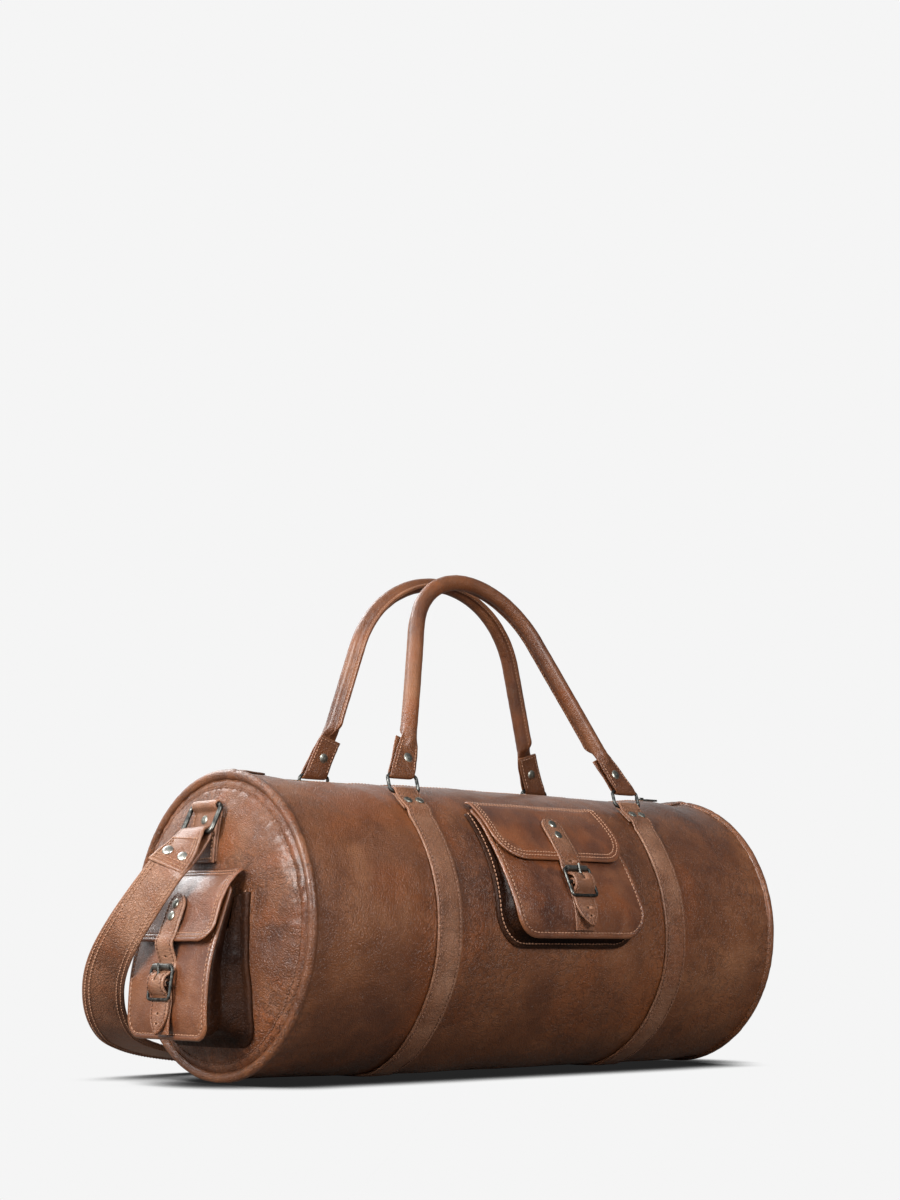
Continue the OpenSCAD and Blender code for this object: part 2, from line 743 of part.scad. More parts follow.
module ribbon(keys, width, thickness, per) {
    points = curve(keys, 0, per);
    faces_out = curve(keys, 1, per);
    n = len(points) - 1;
    corners = [for (i = [0 : n])
        let (
            along = points[min(i + 1, n)] - points[max(i - 1, 0)],
            across = unit(cross(along, faces_out[i])),
            up = unit(cross(across, along))
        )
        for (k = [[-1, -1], [1, -1], [1, 1], [-1, 1]])
            points[i] + across * k[0] * width / 2 + up * k[1] * thickness / 2];
    sides = [for (i = [0 : n - 1]) for (k = [0 : 3])
        let (a = 4 * i + k, b = 4 * i + (k + 1) % 4)
        for (t = [[a, b, a + 4], [b, b + 4, a + 4]]) t];
    polyhedron(corners, concat([[0, 2, 1], [0, 3, 2], [4 * n, 4 * n + 1, 4 * n + 2],
        [4 * n, 4 * n + 2, 4 * n + 3]], sides));
}

module shoulder_strap() color(LEATHER) {
    ribbon(strap_keys, strap_w, strap_t, 3);
}

// Two rivets side by side through both layers of each folded end.
module strap_rivets() color(PEWTER) {
    for (side = [-1, 1]) at_end(side)
        for (y = [-8, 9])
            translate(bar + down * 27 + out * 2.6 + [0, y, 0]) rotate([0, 45.5, 0]) rivet(7);
}

// ---------------------------------------------------------------- nodes

body_panel();
lining();
end_panel(-1);  // end_panel_left
end_panel(1);  // end_panel_right
piping(-1);  // piping_left
piping(1);  // piping_right
piping_cords();
zip_tapes();
zip_coils();
zip_stops();
zip_slider();
zip_pull();
zip_end_tabs();
band(-1);  // band_left
band(1);  // band_right
band_rivets();
front_frame() handle_ring(-1);  // ring_front_left
front_frame() handle_ring(1);  // ring_front_right
back_frame() handle_ring(-1);  // ring_back_left
back_frame() handle_ring(1);  // ring_back_right
front_frame() handle_cover(22.5, 1);  // handle_front_cover
front_frame() handle_core(22.5);  // handle_front_core
front_frame() handle_rivets(22.5);  // handle_front_rivets
back_frame() handle_cover(17, -1);  // handle_back_cover
back_frame() handle_core(17);  // handle_back_core
back_frame() handle_rivets(17);  // handle_back_rivets
front_pocket_gusset();
front_pocket_panel();
front_pocket_flap();
front_pocket_strap();
front_pocket_chape();
front_pocket_rivets();
at_front_buckle() buckle_frame();  // front_buckle_frame
at_front_buckle() buckle_roller();  // front_buckle_roller
at_front_buckle() buckle_tongue();  // front_buckle_tongue
at_end(-1) end_pocket_gusset();  // left_pocket_gusset
at_end(-1) end_pocket_panel();  // left_pocket_panel
at_end(-1) end_pocket_flap();  // left_pocket_flap
at_end(-1) end_pocket_strap();  // left_pocket_strap
at_end(-1) end_pocket_chape();  // left_pocket_chape
at_end(-1) end_pocket_rivets();  // left_pocket_rivets
at_end(-1) outwards() at_end_buckle() buckle_frame();  // left_buckle_frame
at_end(-1) outwards() at_end_buckle() buckle_roller();  // left_buckle_roller
at_end(-1) outwards() at_end_buckle() buckle_tongue();  // left_buckle_tongue
end_pocket_gusset();  // right_pocket_gusset
end_pocket_panel();  // right_pocket_panel
end_pocket_flap();  // right_pocket_flap
end_pocket_strap();  // right_pocket_strap
end_pocket_chape();  // right_pocket_chape
end_pocket_rivets();  // right_pocket_rivets
outwards() at_end_buckle() buckle_frame();  // right_buckle_frame
outwards() at_end_buckle() buckle_roller();  // right_buckle_roller
outwards() at_end_buckle() buckle_tongue();  // right_buckle_tongue
at_end(-1) strap_anchor();  // strap_anchor_left
strap_anchor();  // strap_anchor_right
anchor_rivets();
at_end(-1) end_ring();  // end_ring_left
end_ring();  // end_ring_right
shoulder_strap();
strap_rivets();
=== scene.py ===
"""Looks of the leather weekender bag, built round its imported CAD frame. Lengths are millimetres
until a mesh is made. X runs along the barrel, -Y is the front, +Z is up."""

import json
import math

import bmesh
import bpy
import numpy as np
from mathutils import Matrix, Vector, noise


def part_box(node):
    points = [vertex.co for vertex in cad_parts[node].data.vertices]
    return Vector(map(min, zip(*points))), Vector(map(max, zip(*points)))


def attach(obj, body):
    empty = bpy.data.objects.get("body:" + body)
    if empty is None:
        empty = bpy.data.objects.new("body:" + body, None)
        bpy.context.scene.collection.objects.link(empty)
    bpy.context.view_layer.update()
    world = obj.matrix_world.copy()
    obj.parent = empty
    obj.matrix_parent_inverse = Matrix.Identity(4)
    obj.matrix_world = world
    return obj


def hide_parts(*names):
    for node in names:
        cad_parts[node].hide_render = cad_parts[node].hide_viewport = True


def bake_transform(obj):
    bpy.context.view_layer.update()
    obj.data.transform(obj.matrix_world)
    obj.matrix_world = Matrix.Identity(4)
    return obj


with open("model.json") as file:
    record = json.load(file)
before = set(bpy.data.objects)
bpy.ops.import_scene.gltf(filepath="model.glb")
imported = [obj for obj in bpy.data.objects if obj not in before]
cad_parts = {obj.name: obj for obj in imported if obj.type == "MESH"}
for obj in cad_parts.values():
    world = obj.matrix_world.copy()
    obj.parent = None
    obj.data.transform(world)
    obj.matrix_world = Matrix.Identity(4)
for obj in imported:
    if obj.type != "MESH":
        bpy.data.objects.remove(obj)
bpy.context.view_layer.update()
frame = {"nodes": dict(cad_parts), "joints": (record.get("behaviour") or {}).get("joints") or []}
MM = 0.001
X_AXIS = np.array([1.0, 0.0, 0.0])
rng = np.random.default_rng(7)


# ------------------------------------------------------------------ sizes from the frame, in mm
def box(node):
    """Lowest and highest corner of a CAD node."""
    low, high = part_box(node)
    return np.array(low) / MM, np.array(high) / MM


def pivot(joint):
    """Where a CAD joint sits."""
    found = next(j for j in frame["joints"] if j["name"] == joint)
    return np.array(found["pos_m"]) / MM


def turn_of(point):
    """Angle round the barrel, in degrees from the top, positive towards the front."""
    return math.degrees(math.atan2(-point[1], point[2] - AXIS_Z))


panel_low, panel_high = box("body_panel")
HALF_PANEL, BARREL_R, FLAT = panel_high[0], panel_high[1], panel_low[2]
SWELL = 4.0  # how much wider the barrel's radius is at its middle than at its ends
LEATHER = 2.4
end_low, end_high = box("end_panel_right")
AXIS_Z = (end_low[2] + end_high[2]) / 2
RIM_R = (end_high[2] - end_low[2]) / 2
RIM_X = end_low[0] + LEATHER
END_PUFF = end_high[0] - RIM_X
tape_low, tape_high = box("zip_tapes")
ZIP_Z = tape_low[2]
ZIP_LEFT, ZIP_RIGHT = tape_low[0] + 4, tape_high[0] - 2
band_low, band_high = box("band_right")
BAND_X, BAND_W = (band_low[0] + band_high[0]) / 2, band_high[0] - band_low[0]
FRONT_RING, BACK_RING = turn_of(pivot("front_rings_tilt")), turn_of(pivot("back_rings_tilt"))
BAR_R = math.hypot(pivot("front_rings_tilt")[1], pivot("front_rings_tilt")[2] - AXIS_Z)
RING_H = float(np.linalg.norm(pivot("front_handle_swing") - pivot("front_rings_tilt")))


# ------------------------------------------------------------------ small maths
def v3(*p):
    return np.array(p, float)


def unit(v):
    return v / np.maximum(np.linalg.norm(v, axis=-1, keepdims=True), 1e-9)


def step(x, a, b):
    t = np.clip((x - a) / (b - a), 0, 1)
    return t * t * (3 - 2 * t)


def fbm(points, size, octaves=3, seed=0.0):
    """Smooth noise from about -1 to 1 whose features are about size mm."""
    p = np.asarray(points, float).reshape(-1, 3) / size + seed
    out = [noise.fractal(Vector(q), 1.0, 2.0, octaves) for q in p]
    return np.array(out).reshape(np.shape(points)[:-1])


def ridges(points, size, seed=0.0):
    """Noise with sharp valleys, from 0 in a valley to 1."""
    return np.clip(np.abs(fbm(points, size, 3, seed)) * 2.2, 0, 1)


def spline(keys, spacing):
    """Catmull-Rom curve through the keys, resampled at an even spacing. Keys may have any width."""
    k = np.asarray(keys, float)
    k = np.vstack([2 * k[0] - k[1], k, 2 * k[-1] - k[-2]])
    out = []
    for i in range(1, len(k) - 2):
        a, b, c, d = k[i - 1], k[i], k[i + 1], k[i + 2]
        for t in np.linspace(0, 1, 24, endpoint=False):
            out.append(0.5 * (2 * b + (c - a) * t + (2 * a - 5 * b + 4 * c - d) * t**2
                              + (3 * b - a - 3 * c + d) * t**3))
    out.append(k[-2])
    return resample(np.array(out), spacing)


def resample(path, spacing, dims=None):
    d = path[:, :dims] if dims else path
    s = np.concatenate([[0], np.cumsum(np.linalg.norm(np.diff(d, axis=0), axis=1))])
    n = max(2, int(round(s[-1] / spacing)) + 1)
    q = np.linspace(0, s[-1], n)
    return np.stack([np.interp(q, s, path[:, i]) for i in range(path.shape[1])], 1)


def tangents(path):
    return unit(np.gradient(path, axis=0))


def runs(on):
    """Stretches of consecutive indices where on is true, at least five long."""
    idx = np.flatnonzero(on)
    parts = np.split(idx, np.flatnonzero(np.diff(idx) > 1) + 1)
    return [q for q in parts if len(q) > 4]


def polar(angle, r, x=0.0):
    a = np.radians(angle)
    return np.stack(np.broadcast_arrays(x, -r * np.sin(a), AXIS_Z + r * np.cos(a)), -1)


def from_top(a):
    """An angle in degrees from the top, brought to between -180 and 180."""
    return (np.asarray(a) + 180) % 360 - 180


def barrel_r(x):
    return BARREL_R - SWELL * (np.asarray(x, float) / HALF_PANEL) ** 2


def face_x(r):
    return RIM_X + END_PUFF * (1 - np.abs(np.asarray(r, float) / RIM_R) ** 4)


def soft_floor(z, low, soft=1.2):
    """z kept above low, with a rounded corner."""
    return low + soft * np.logaddexp(0, (z - low) / soft)


# ------------------------------------------------------------------ meshes
def grid(p, close_u=False, close_v=False, skip=None):
    """Quads over an array of points (nu, nv, 3)."""
    nu, nv = p.shape[:2]
    faces = []
    for i in range(nu if close_u else nu - 1):
        for j in range(nv if close_v else nv - 1):
            if skip is not None and skip[i, j]:
                continue
            a, b = i * nv + j, i * nv + (j + 1) % nv
            c, d = ((i + 1) % nu) * nv + (j + 1) % nv, ((i + 1) % nu) * nv + j
            faces.append((a, b, c, d))
    return p.reshape(-1, 3), faces


def capped(p):
    """A closed tube of section loops p (n, k, 3) with both ends shut."""
    verts, faces = grid(p, close_v=True)
    n, k = p.shape[:2]
    faces = faces + [tuple(range(k - 1, -1, -1)), tuple((n - 1) * k + i for i in range(k))]
    return verts, faces


def join(parts):
    verts, faces, base = [], [], 0
    for v, f in parts:
        verts.append(v)
        faces += [tuple(i + base for i in q) for q in f]
        base += len(v)
    return np.vstack(verts), faces


def piece(name, part, material, body, nodes=(), thickness=0.0, subdivide=0, sharp=None):
    """A finished object from (vertices in mm, faces)."""
    verts, faces = part
    data = bpy.data.meshes.new(name)
    data.from_pydata((np.asarray(verts) * MM).tolist(), [], faces)
    bm = bmesh.new()
    bm.from_mesh(data)
    bmesh.ops.remove_doubles(bm, verts=bm.verts, dist=1e-6)
    loose = [v for v in bm.verts if not v.link_faces]
    bmesh.ops.delete(bm, geom=loose, context="VERTS")
    bmesh.ops.recalc_face_normals(bm, faces=bm.faces)
    bm.to_mesh(data)
    bm.free()
    data.materials.append(material)
    data.shade_smooth()
    if sharp:
        data.set_sharp_from_angle(angle=math.radians(sharp))
    o = bpy.data.objects.new(name, data)
    bpy.context.scene.collection.objects.link(o)
    if thickness:
        m = o.modifiers.new("thickness", "SOLIDIFY")
        m.thickness = thickness * MM
        m.offset = -1
        m.use_even_offset = True
    if subdivide:
        m = o.modifiers.new("smooth", "SUBSURF")
        m.levels = m.render_levels = subdivide
    if isinstance(body, str):
        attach(o, body)
    else:
        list(body)
        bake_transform(o)
    if nodes:
        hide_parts(*nodes)
    return o


def section(width, thick, groove=0.35, crown=0.3, row=3.0):
    """Closed cross-section (k, 2) of a strap: rounded edges and a dip along each stitch row."""
    e = thick / 2
    half = width / 2
    k = min(1.0, half / (row + 3.5))
    offs = [e * 0.8, (row - 0.9) * k, row * k, (row + 0.9) * k, (row + 3) * k]
    highs = [0.0, 0.05, -groove * k, 0.0, crown * 0.6]
    top = [(-half + o, e + h) for o, h in zip(offs, highs)]
    top = top + [(0.0, e + crown)] + [(-x, z) for x, z in reversed(top)]
    right = [(half - e * 0.2, e * 0.66), (half, 0.0), (half - e * 0.2, -e * 0.66)]
    low = [(half - e * 0.8, -e), (half * 0.45, -e), (0.0, -e), (-half * 0.45, -e), (-half + e * 0.8, -e)]
    return np.array(top + right + low + [(-x, z) for x, z in reversed(right)])


def ribbon(path, normals, width, thick, across=None, rough=0.12, seed=0.0, **shape):
    """A strap along a path. Returns ((verts, faces), across, up)."""
    n = len(path)
    t = tangents(path)
    side = unit(np.cross(t, normals)) if across is None else unit(across)
    up = unit(np.cross(side, t))
    widths = np.broadcast_to(width, (n,))
    rings = np.array([section(w, thick, **shape) for w in widths])
    p = path[:, None] + side[:, None] * rings[..., :1] + up[:, None] * rings[..., 1:]
    wob = fbm(p, 9, 3, seed) * rough
    top = np.clip(rings[..., 1] / (thick / 2), 0, 1)
    p = p + up[:, None] * (wob * top)[..., None]
    return capped(p), side, up


def stitch_row(path, normals, pitch=4.0, length=2.9, r=0.56, closed=False):
    """Thread stitches along a line that lies on a surface."""
    if closed:
        path = np.vstack([path, path[:1]])
        normals = np.vstack([normals, normals[:1]])
    both = resample(np.hstack([path, normals]), pitch, 3)
    pos, nor = both[:, :3], unit(both[:, 3:])
    tan = tangents(pos)
    if closed:
        pos, nor, tan = pos[:-1], nor[:-1], tan[:-1]
    side = unit(np.cross(tan, nor))
    tilt = rng.uniform(-0.09, 0.09, len(pos))[:, None]
    tan = unit(tan + side * tilt)
    side = unit(np.cross(tan, nor))
    u = np.array([-0.5, -0.42, -0.2, 0.2, 0.42, 0.5])
    size = np.array([0.3, 0.8, 1.0, 1.0, 0.8, 0.3]) * r
    lift = r * 0.75 * (1 - (2 * u) ** 4) - r * 0.35
    a = np.arange(6) * math.pi / 3
    ring = u[:, None, None] * length
    c = size[:, None] * np.cos(a)
    s = size[:, None] * np.sin(a) + lift[:, None]
    p = (pos[:, None, None] + tan[:, None, None] * ring + side[:, None, None] * c[None, ..., None]
         + nor[:, None, None] * s[None, ..., None])
    return join([capped(q) for q in p])


def rounded(x0, x1, z0, z1, radii, inset, n_side=26, n_corner=9):
    """Rounded rectangle moved in by inset, anticlockwise from its lower left corner."""
    x0, x1, z0, z1 = x0 + inset, x1 - inset, z0 + inset, z1 - inset
    corners = [(x0, z0, 180), (x1, z0, 270), (x1, z1, 0), (x0, z1, 90)]
    pts = []
    rad = [max(r - inset, 0.4) for r in radii]
    for (cx, cz, a0), r in zip(corners, rad):
        mx = cx + r * (1 if cx == x0 else -1)
        mz = cz + r * (1 if cz == z0 else -1)
        a = np.radians(np.linspace(a0, a0 + 90, n_corner))
        pts.append(np.stack([mx + r * np.cos(a), mz + r * np.sin(a)], 1))
    out = []
    for i in range(4):
        out.append(pts[i])
        a, b = pts[i][-1], pts[(i + 1) % 4][0]
        t = np.linspace(0, 1, n_side + 2)[1:-1, None]
        out.append(a + (b - a) * t)
    return np.vstack(out)


def panel(outline, place, levels, thick, centre=12):
    """A leather panel. outline(inset) gives (n, 2); place(u, v, h) puts a point at height h over
    the panel's surface; levels are (inset, height) from the edge inwards."""
    e = thick / 2
    edge = [(e, -thick), (0.3 * e, -thick + 0.35 * e), (0.0, -e), (0.3 * e, -0.35 * e)]
    last = outline(levels[-1][0])
    mid = last.mean(0)
    rings = []
    for k in np.linspace(0, 1, centre, endpoint=False)[1:]:
        rings.append((mid + (last - mid) * k, -thick))
    for inset, _ in reversed(levels[1:]):
        rings.append((outline(inset), -thick))
    for inset, h in edge + list(levels):
        rings.append((outline(inset), h))
    for k in np.linspace(1, 0, centre, endpoint=False)[1:]:
        rings.append((mid + (last - mid) * k, levels[-1][1]))
    p = np.array([place(q[:, 0], q[:, 1], h) for q, h in rings])
    verts, faces = grid(p, close_v=True)
    n = p.shape[1]
    ends = [place(np.array([mid[0]]), np.array([mid[1]]), h)[0] for h in (-thick, levels[-1][1])]
    base = len(verts)
    verts = np.vstack([verts, ends])
    top = (len(p) - 1) * n
    faces += [(base, i, (i + 1) % n) for i in range(n)]
    faces += [(base + 1, top + (i + 1) % n, top + i) for i in range(n)]
    return verts, faces


def row_on(outline, place, inset, h, keep=None, **kw):
    """Stitches along an inset outline of a panel. keep(u, v) says where they run."""
    q = outline(inset)
    p = place(q[:, 0], q[:, 1], h)
    up = unit(place(q[:, 0], q[:, 1], h + 0.5) - p)
    if keep is None:
        return [stitch_row(p, up, closed=True, **kw)]
    on = keep(q[:, 0], q[:, 1])
    start = int(np.argmax(on & ~np.roll(on, 1)))
    idx = [(start + i) % len(q) for i in range(len(q)) if on[(start + i) % len(q)]]
    return [stitch_row(p[idx], up[idx], **kw)]


# ------------------------------------------------------------------ materials
class Shader:
    """Node tree of a material or a world."""

    def __init__(self, owner):
        owner.use_nodes = True
        self.owner = owner
        self.tree = owner.node_tree
        self.tree.nodes.clear()

    def add(self, kind, inputs=None, **props):
        node = self.tree.nodes.new("ShaderNode" + kind)
        for key, value in props.items():
            setattr(node, key, value)
        for key, value in (inputs or {}).items():
            if isinstance(value, bpy.types.NodeSocket):
                self.tree.links.new(value, node.inputs[key])
            else:
                node.inputs[key].default_value = value
        return node

    def noise(self, coord, scale, detail=3.0, distortion=0.0, roughness=0.5):
        return self.add("TexNoise", {"Vector": coord, "Scale": scale, "Detail": detail,
                                     "Distortion": distortion, "Roughness": roughness}).outputs["Fac"]

    def math(self, op, a, b=0.0, clamp=False):
        return self.add("Math", {0: a, 1: b}, operation=op, use_clamp=clamp).outputs[0]

    def span(self, value, a, b, c=0.0, d=1.0, kind="SMOOTHSTEP"):
        """value from a to b, turned into c to d and held there beyond."""
        inputs = {"Value": value, "From Min": a, "From Max": b, "To Min": c, "To Max": d}
        return self.add("MapRange", inputs, interpolation_type=kind).outputs["Result"]

    def ramp(self, value, stops):
        node = self.add("ValToRGB", {"Fac": value})
        e = node.color_ramp.elements
        while len(e) < len(stops):
            e.new(0.5)
        for el, (pos, col) in zip(e, stops):
            el.position = pos
            el.color = (*col, 1.0)
        return node.outputs["Color"]

    def mix(self, fac, a, b, blend="MIX"):
        node = self.add("Mix", data_type="RGBA", blend_type=blend)
        for key, value in ((0, fac), (6, a), (7, b)):
            if isinstance(value, bpy.types.NodeSocket):
                self.tree.links.new(value, node.inputs[key])
            elif key:
                node.inputs[key].default_value = (*value, 1.0)
            else:
                node.inputs[key].default_value = value
        return node.outputs[2]

    def bump(self, height, distance, strength, normal=None):
        inputs = {"Height": height, "Distance": distance, "Strength": strength}
        if normal is not None:
            inputs["Normal"] = normal
        return self.add("Bump", inputs).outputs["Normal"]

    def by_ray(self, camera, others):
        """One shader for what the camera sees directly, another for light that bounces."""
        direct = self.add("LightPath").outputs["Is Camera Ray"]
        return self.add("MixShader", {0: direct, 1: others.outputs[0], 2: camera.outputs[0]})

    def end(self, shader, kind="OutputMaterial"):
        self.tree.links.new(shader.outputs[0], self.add(kind).inputs["Surface"])
        return self.owner

    def done(self, **inputs):
        names = {k.replace("_", " "): v for k, v in inputs.items()}
        return self.end(self.add("BsdfPrincipled", names))


def leather(name, tones, patch=9.0, grain=1.0, creases=1.0, gloss=0.0, wear=0.5, glow=0.5, sheen=1.0):
    """Waxed full-grain leather. tones are linear colours from dark to light; glow is how much of
    it shows orange where the wax is thin."""
    s = Shader(bpy.data.materials.new(name))
    co = s.add("TexCoord").outputs["Object"]
    big = s.noise(co, patch, 3.0, 0.6)
    mid = s.noise(co, 34.0, 5.0, 0.5, 0.6)
    fine = s.noise(co, 260.0, 4.0)
    tone = s.math("ADD", s.math("MULTIPLY", big, 0.6), s.math("MULTIPLY", mid, 0.4))
    color = s.ramp(tone, [(0.34, tones[0]), (0.45, tones[1]), (0.54, tones[2]), (0.67, tones[3])])
    warm = s.span(s.noise(co, patch * 1.3 + 2.0, 4.0, 0.8), 0.50, 0.68, 0.0, glow)
    color = s.mix(warm, color, GLOW)
    # Pebbles two millimetres wide, their grid bent by a fine noise.
    bend = s.add("TexNoise", {"Vector": co, "Scale": 260.0, "Detail": 2.0}).outputs["Color"]
    bend = s.add("VectorMath", {0: bend, "Scale": 0.0028}, operation="SCALE").outputs[0]
    warp = s.add("VectorMath", {0: co, 1: bend}, operation="ADD").outputs[0]
    cells = s.add("TexVoronoi", {"Vector": warp, "Scale": 500.0}, feature="DISTANCE_TO_EDGE")
    pebble = s.span(cells.outputs["Distance"], 0.0, 0.26)
    # Short wrinkles, in some places only.
    fold = s.math("ABSOLUTE", s.math("SUBTRACT", s.noise(co, 120.0, 4.0, 0.5, 0.55), 0.5))
    valley = s.math("SUBTRACT", 1.0, s.span(fold, 0.0, 0.06))
    valley = s.math("MULTIPLY", valley, s.span(s.noise(co, 14.0, 2.0), 0.42, 0.60, 0.25, 1.0))
    dark = tuple(c * 0.4 for c in tones[0])
    color = s.mix(s.math("MULTIPLY", s.math("SUBTRACT", 1.0, pebble), 0.22 * grain), color, dark)
    # Wrinkle valleys are darkened: painted shade in the creases.
    color = s.mix(s.math("MULTIPLY", valley, 0.30 * creases), color, dark)
    color = s.mix(s.span(fine, 0.56, 0.72, 0.0, 0.22), color, tones[3])
    point = s.add("NewGeometry").outputs["Pointiness"]
    edge = s.math("MULTIPLY", s.span(point, 0.515, 0.60), wear)
    color = s.mix(edge, color, tuple(c * 1.3 for c in tones[3]))
    # Concave places are darkened by pointiness: painted shade in hollows and corners.
    color = s.mix(s.span(point, 0.40, 0.485, 0.35, 0.0), color, dark)
    rough = s.math("ADD", s.span(mid, 0.3, 0.7, 0.30, 0.44), s.math("MULTIPLY", fine, 0.12))
    rough = s.math("SUBTRACT", rough, gloss)
    n = s.bump(s.noise(co, 30.0, 4.0, 0.4), 0.0022, 0.35)
    n = s.bump(s.math("SUBTRACT", 1.0, valley), 0.0009 * creases, 0.55, n)
    n = s.bump(pebble, 0.00042 * grain, 0.7, n)
    n = s.bump(fine, 0.0006, 0.45, n)
    return s.done(Base_Color=color, Roughness=rough, Normal=n, Specular_IOR_Level=0.45 * sheen,
                  Coat_Weight=0.25 * sheen, Coat_Roughness=0.25)


def metal(name, dark, light, rough=0.32, scratch=1.0):
    s = Shader(bpy.data.materials.new(name))
    co = s.add("TexCoord").outputs["Object"]
    age = s.noise(co, 190.0, 5.0, 0.4, 0.6)
    fine = s.noise(co, 1500.0, 3.0)
    point = s.add("NewGeometry").outputs["Pointiness"]
    worn = s.math("ADD", s.span(age, 0.42, 0.68, 0.0, 0.65), s.span(point, 0.51, 0.58, 0.0, 0.5), True)
    color = s.mix(worn, dark, light)
    r = s.math("ADD", s.span(age, 0.3, 0.7, rough + 0.14, rough - 0.06), s.math("MULTIPLY", fine, 0.08))
    n = s.bump(age, 0.0002 * scratch, 0.3)
    n = s.bump(fine, 0.00004, 0.4, n)
    return s.done(Base_Color=color, Metallic=1.0, Roughness=r, Normal=n)


def woven(name, dark, light, scale=900.0):
    s = Shader(bpy.data.materials.new(name))
    co = s.add("TexCoord").outputs["Object"]
    waves = []
    for direction in ("X", "Y"):
        w = s.add("TexWave", {"Vector": co, "Scale": scale / 6.28, "Distortion": 0.6, "Detail": 1.0},
                  bands_direction=direction)
        waves.append(w.outputs["Fac"])
    weave = s.math("MULTIPLY", waves[0], waves[1])
    spots = s.noise(co, 60.0, 4.0)
    color = s.mix(s.math("MULTIPLY", weave, s.span(spots, 0.3, 0.7, 0.6, 1.0)), dark, light)
    n = s.bump(weave, 0.0003, 0.6)
    return s.done(Base_Color=color, Roughness=0.9, Normal=n, Sheen_Weight=0.2)


def thread(name, dark, light):
    s = Shader(bpy.data.materials.new(name))
    co = s.add("TexCoord").outputs["Object"]
    spots = s.noise(co, 90.0, 4.0)
    twist = s.noise(co, 2600.0, 2.0)
    color = s.mix(s.math("ADD", s.math("MULTIPLY", spots, 0.7), s.math("MULTIPLY", twist, 0.4)), dark, light)
    n = s.bump(twist, 0.0002, 0.6)
    return s.done(Base_Color=color, Roughness=0.62, Normal=n)


GLOW = (0.205, 0.053, 0.009)
BODY_TONES = [(0.058, 0.017, 0.006), (0.106, 0.034, 0.011), (0.150, 0.052, 0.018), (0.218, 0.088, 0.036)]
FLAP_TONES = [(0.048, 0.014, 0.006), (0.098, 0.030, 0.011), (0.140, 0.047, 0.017), (0.205, 0.080, 0.033)]
DARK_TONES = [(0.026, 0.009, 0.004), (0.055, 0.019, 0.008), (0.085, 0.030, 0.012), (0.130, 0.053, 0.025)]
# The gusset's tones are far darker than the body's: painted shade for the pocket's recessed inner wall.
GUSSET_SHADE_TONES = [(0.007, 0.002, 0.001), (0.016, 0.005, 0.002), (0.028, 0.009, 0.003), (0.060, 0.022, 0.009)]
STRAP_TONES = [(0.100, 0.038, 0.017), (0.165, 0.067, 0.032), (0.210, 0.094, 0.049), (0.300, 0.152, 0.090)]

body_leather = leather("leather_body", BODY_TONES, patch=7.0, grain=0.9, creases=1.0, gloss=0.03, glow=0.38)
end_leather = leather("leather_end", BODY_TONES, patch=12.0, grain=1.2, creases=1.4, wear=0.25, glow=0.6)
flap_leather = leather("leather_flap", FLAP_TONES, patch=14.0, grain=0.5, creases=0.4, gloss=0.07, sheen=1.3)
dark_leather = leather("leather_dark", DARK_TONES, patch=20.0, grain=0.8, creases=0.8, glow=0.2)
gusset_shade_leather = leather("leather_gusset", GUSSET_SHADE_TONES, patch=20.0, creases=1.0, glow=0.0, wear=0.2, sheen=0.25)
edge_leather = leather("leather_piping", BODY_TONES, patch=14.0, grain=0.9, creases=1.5, wear=0.7)
strap_leather = leather("leather_strap", STRAP_TONES, patch=16.0, grain=1.1, creases=0.7, wear=0.35,
                        glow=0.35)
handle_leather = leather("leather_handle", BODY_TONES, patch=12.0, grain=0.7, creases=0.5, wear=0.5, glow=0.4)
tan_thread = thread("thread_tan", (0.17, 0.076, 0.042), (0.38, 0.205, 0.125))
brown_thread = thread("thread_brown", (0.060, 0.024, 0.013), (0.20, 0.090, 0.050))
gunmetal = metal("gunmetal", (0.035, 0.037, 0.036), (0.20, 0.20, 0.185), 0.36)
nickel = metal("antique_nickel", (0.16, 0.165, 0.145), (0.52, 0.52, 0.46), 0.30)
bright = metal("bright_nickel", (0.34, 0.34, 0.31), (0.66, 0.65, 0.59), 0.28)
brass = metal("zip_brass", (0.10, 0.075, 0.035), (0.36, 0.27, 0.13), 0.36)
cloth = woven("lining_cloth", (0.030, 0.021, 0.016), (0.085, 0.063, 0.047))
tape_cloth = woven("zip_tape", (0.018, 0.012, 0.009), (0.060, 0.040, 0.028))
cord_cloth = woven("cord", (0.16, 0.12, 0.08), (0.42, 0.34, 0.24), 1500.0)


# ------------------------------------------------------------------ CAD nodes that stay
def keep(material, *nodes):
    for n in nodes:
        data = frame["nodes"][n].data
        data.materials.clear()
        data.materials.append(material)
        data.shade_smooth()
        data.set_sharp_from_angle(angle=math.radians(38))


for part in ("front", "left", "right"):
    keep(gunmetal, *[f"{part}_buckle_{k}" for k in ("frame", "roller", "tongue")])
    keep(nickel, f"{part}_pocket_rivets")
keep(gunmetal, "zip_slider", "zip_pull", "end_ring_left", "end_ring_right",
     "ring_front_left", "ring_front_right", "ring_back_left", "ring_back_right")
keep(nickel, "band_rivets", "anchor_rivets", "handle_front_rivets", "handle_back_rivets")
keep(brass, "zip_coils", "zip_stops")
keep(cord_cloth, "piping_cords")


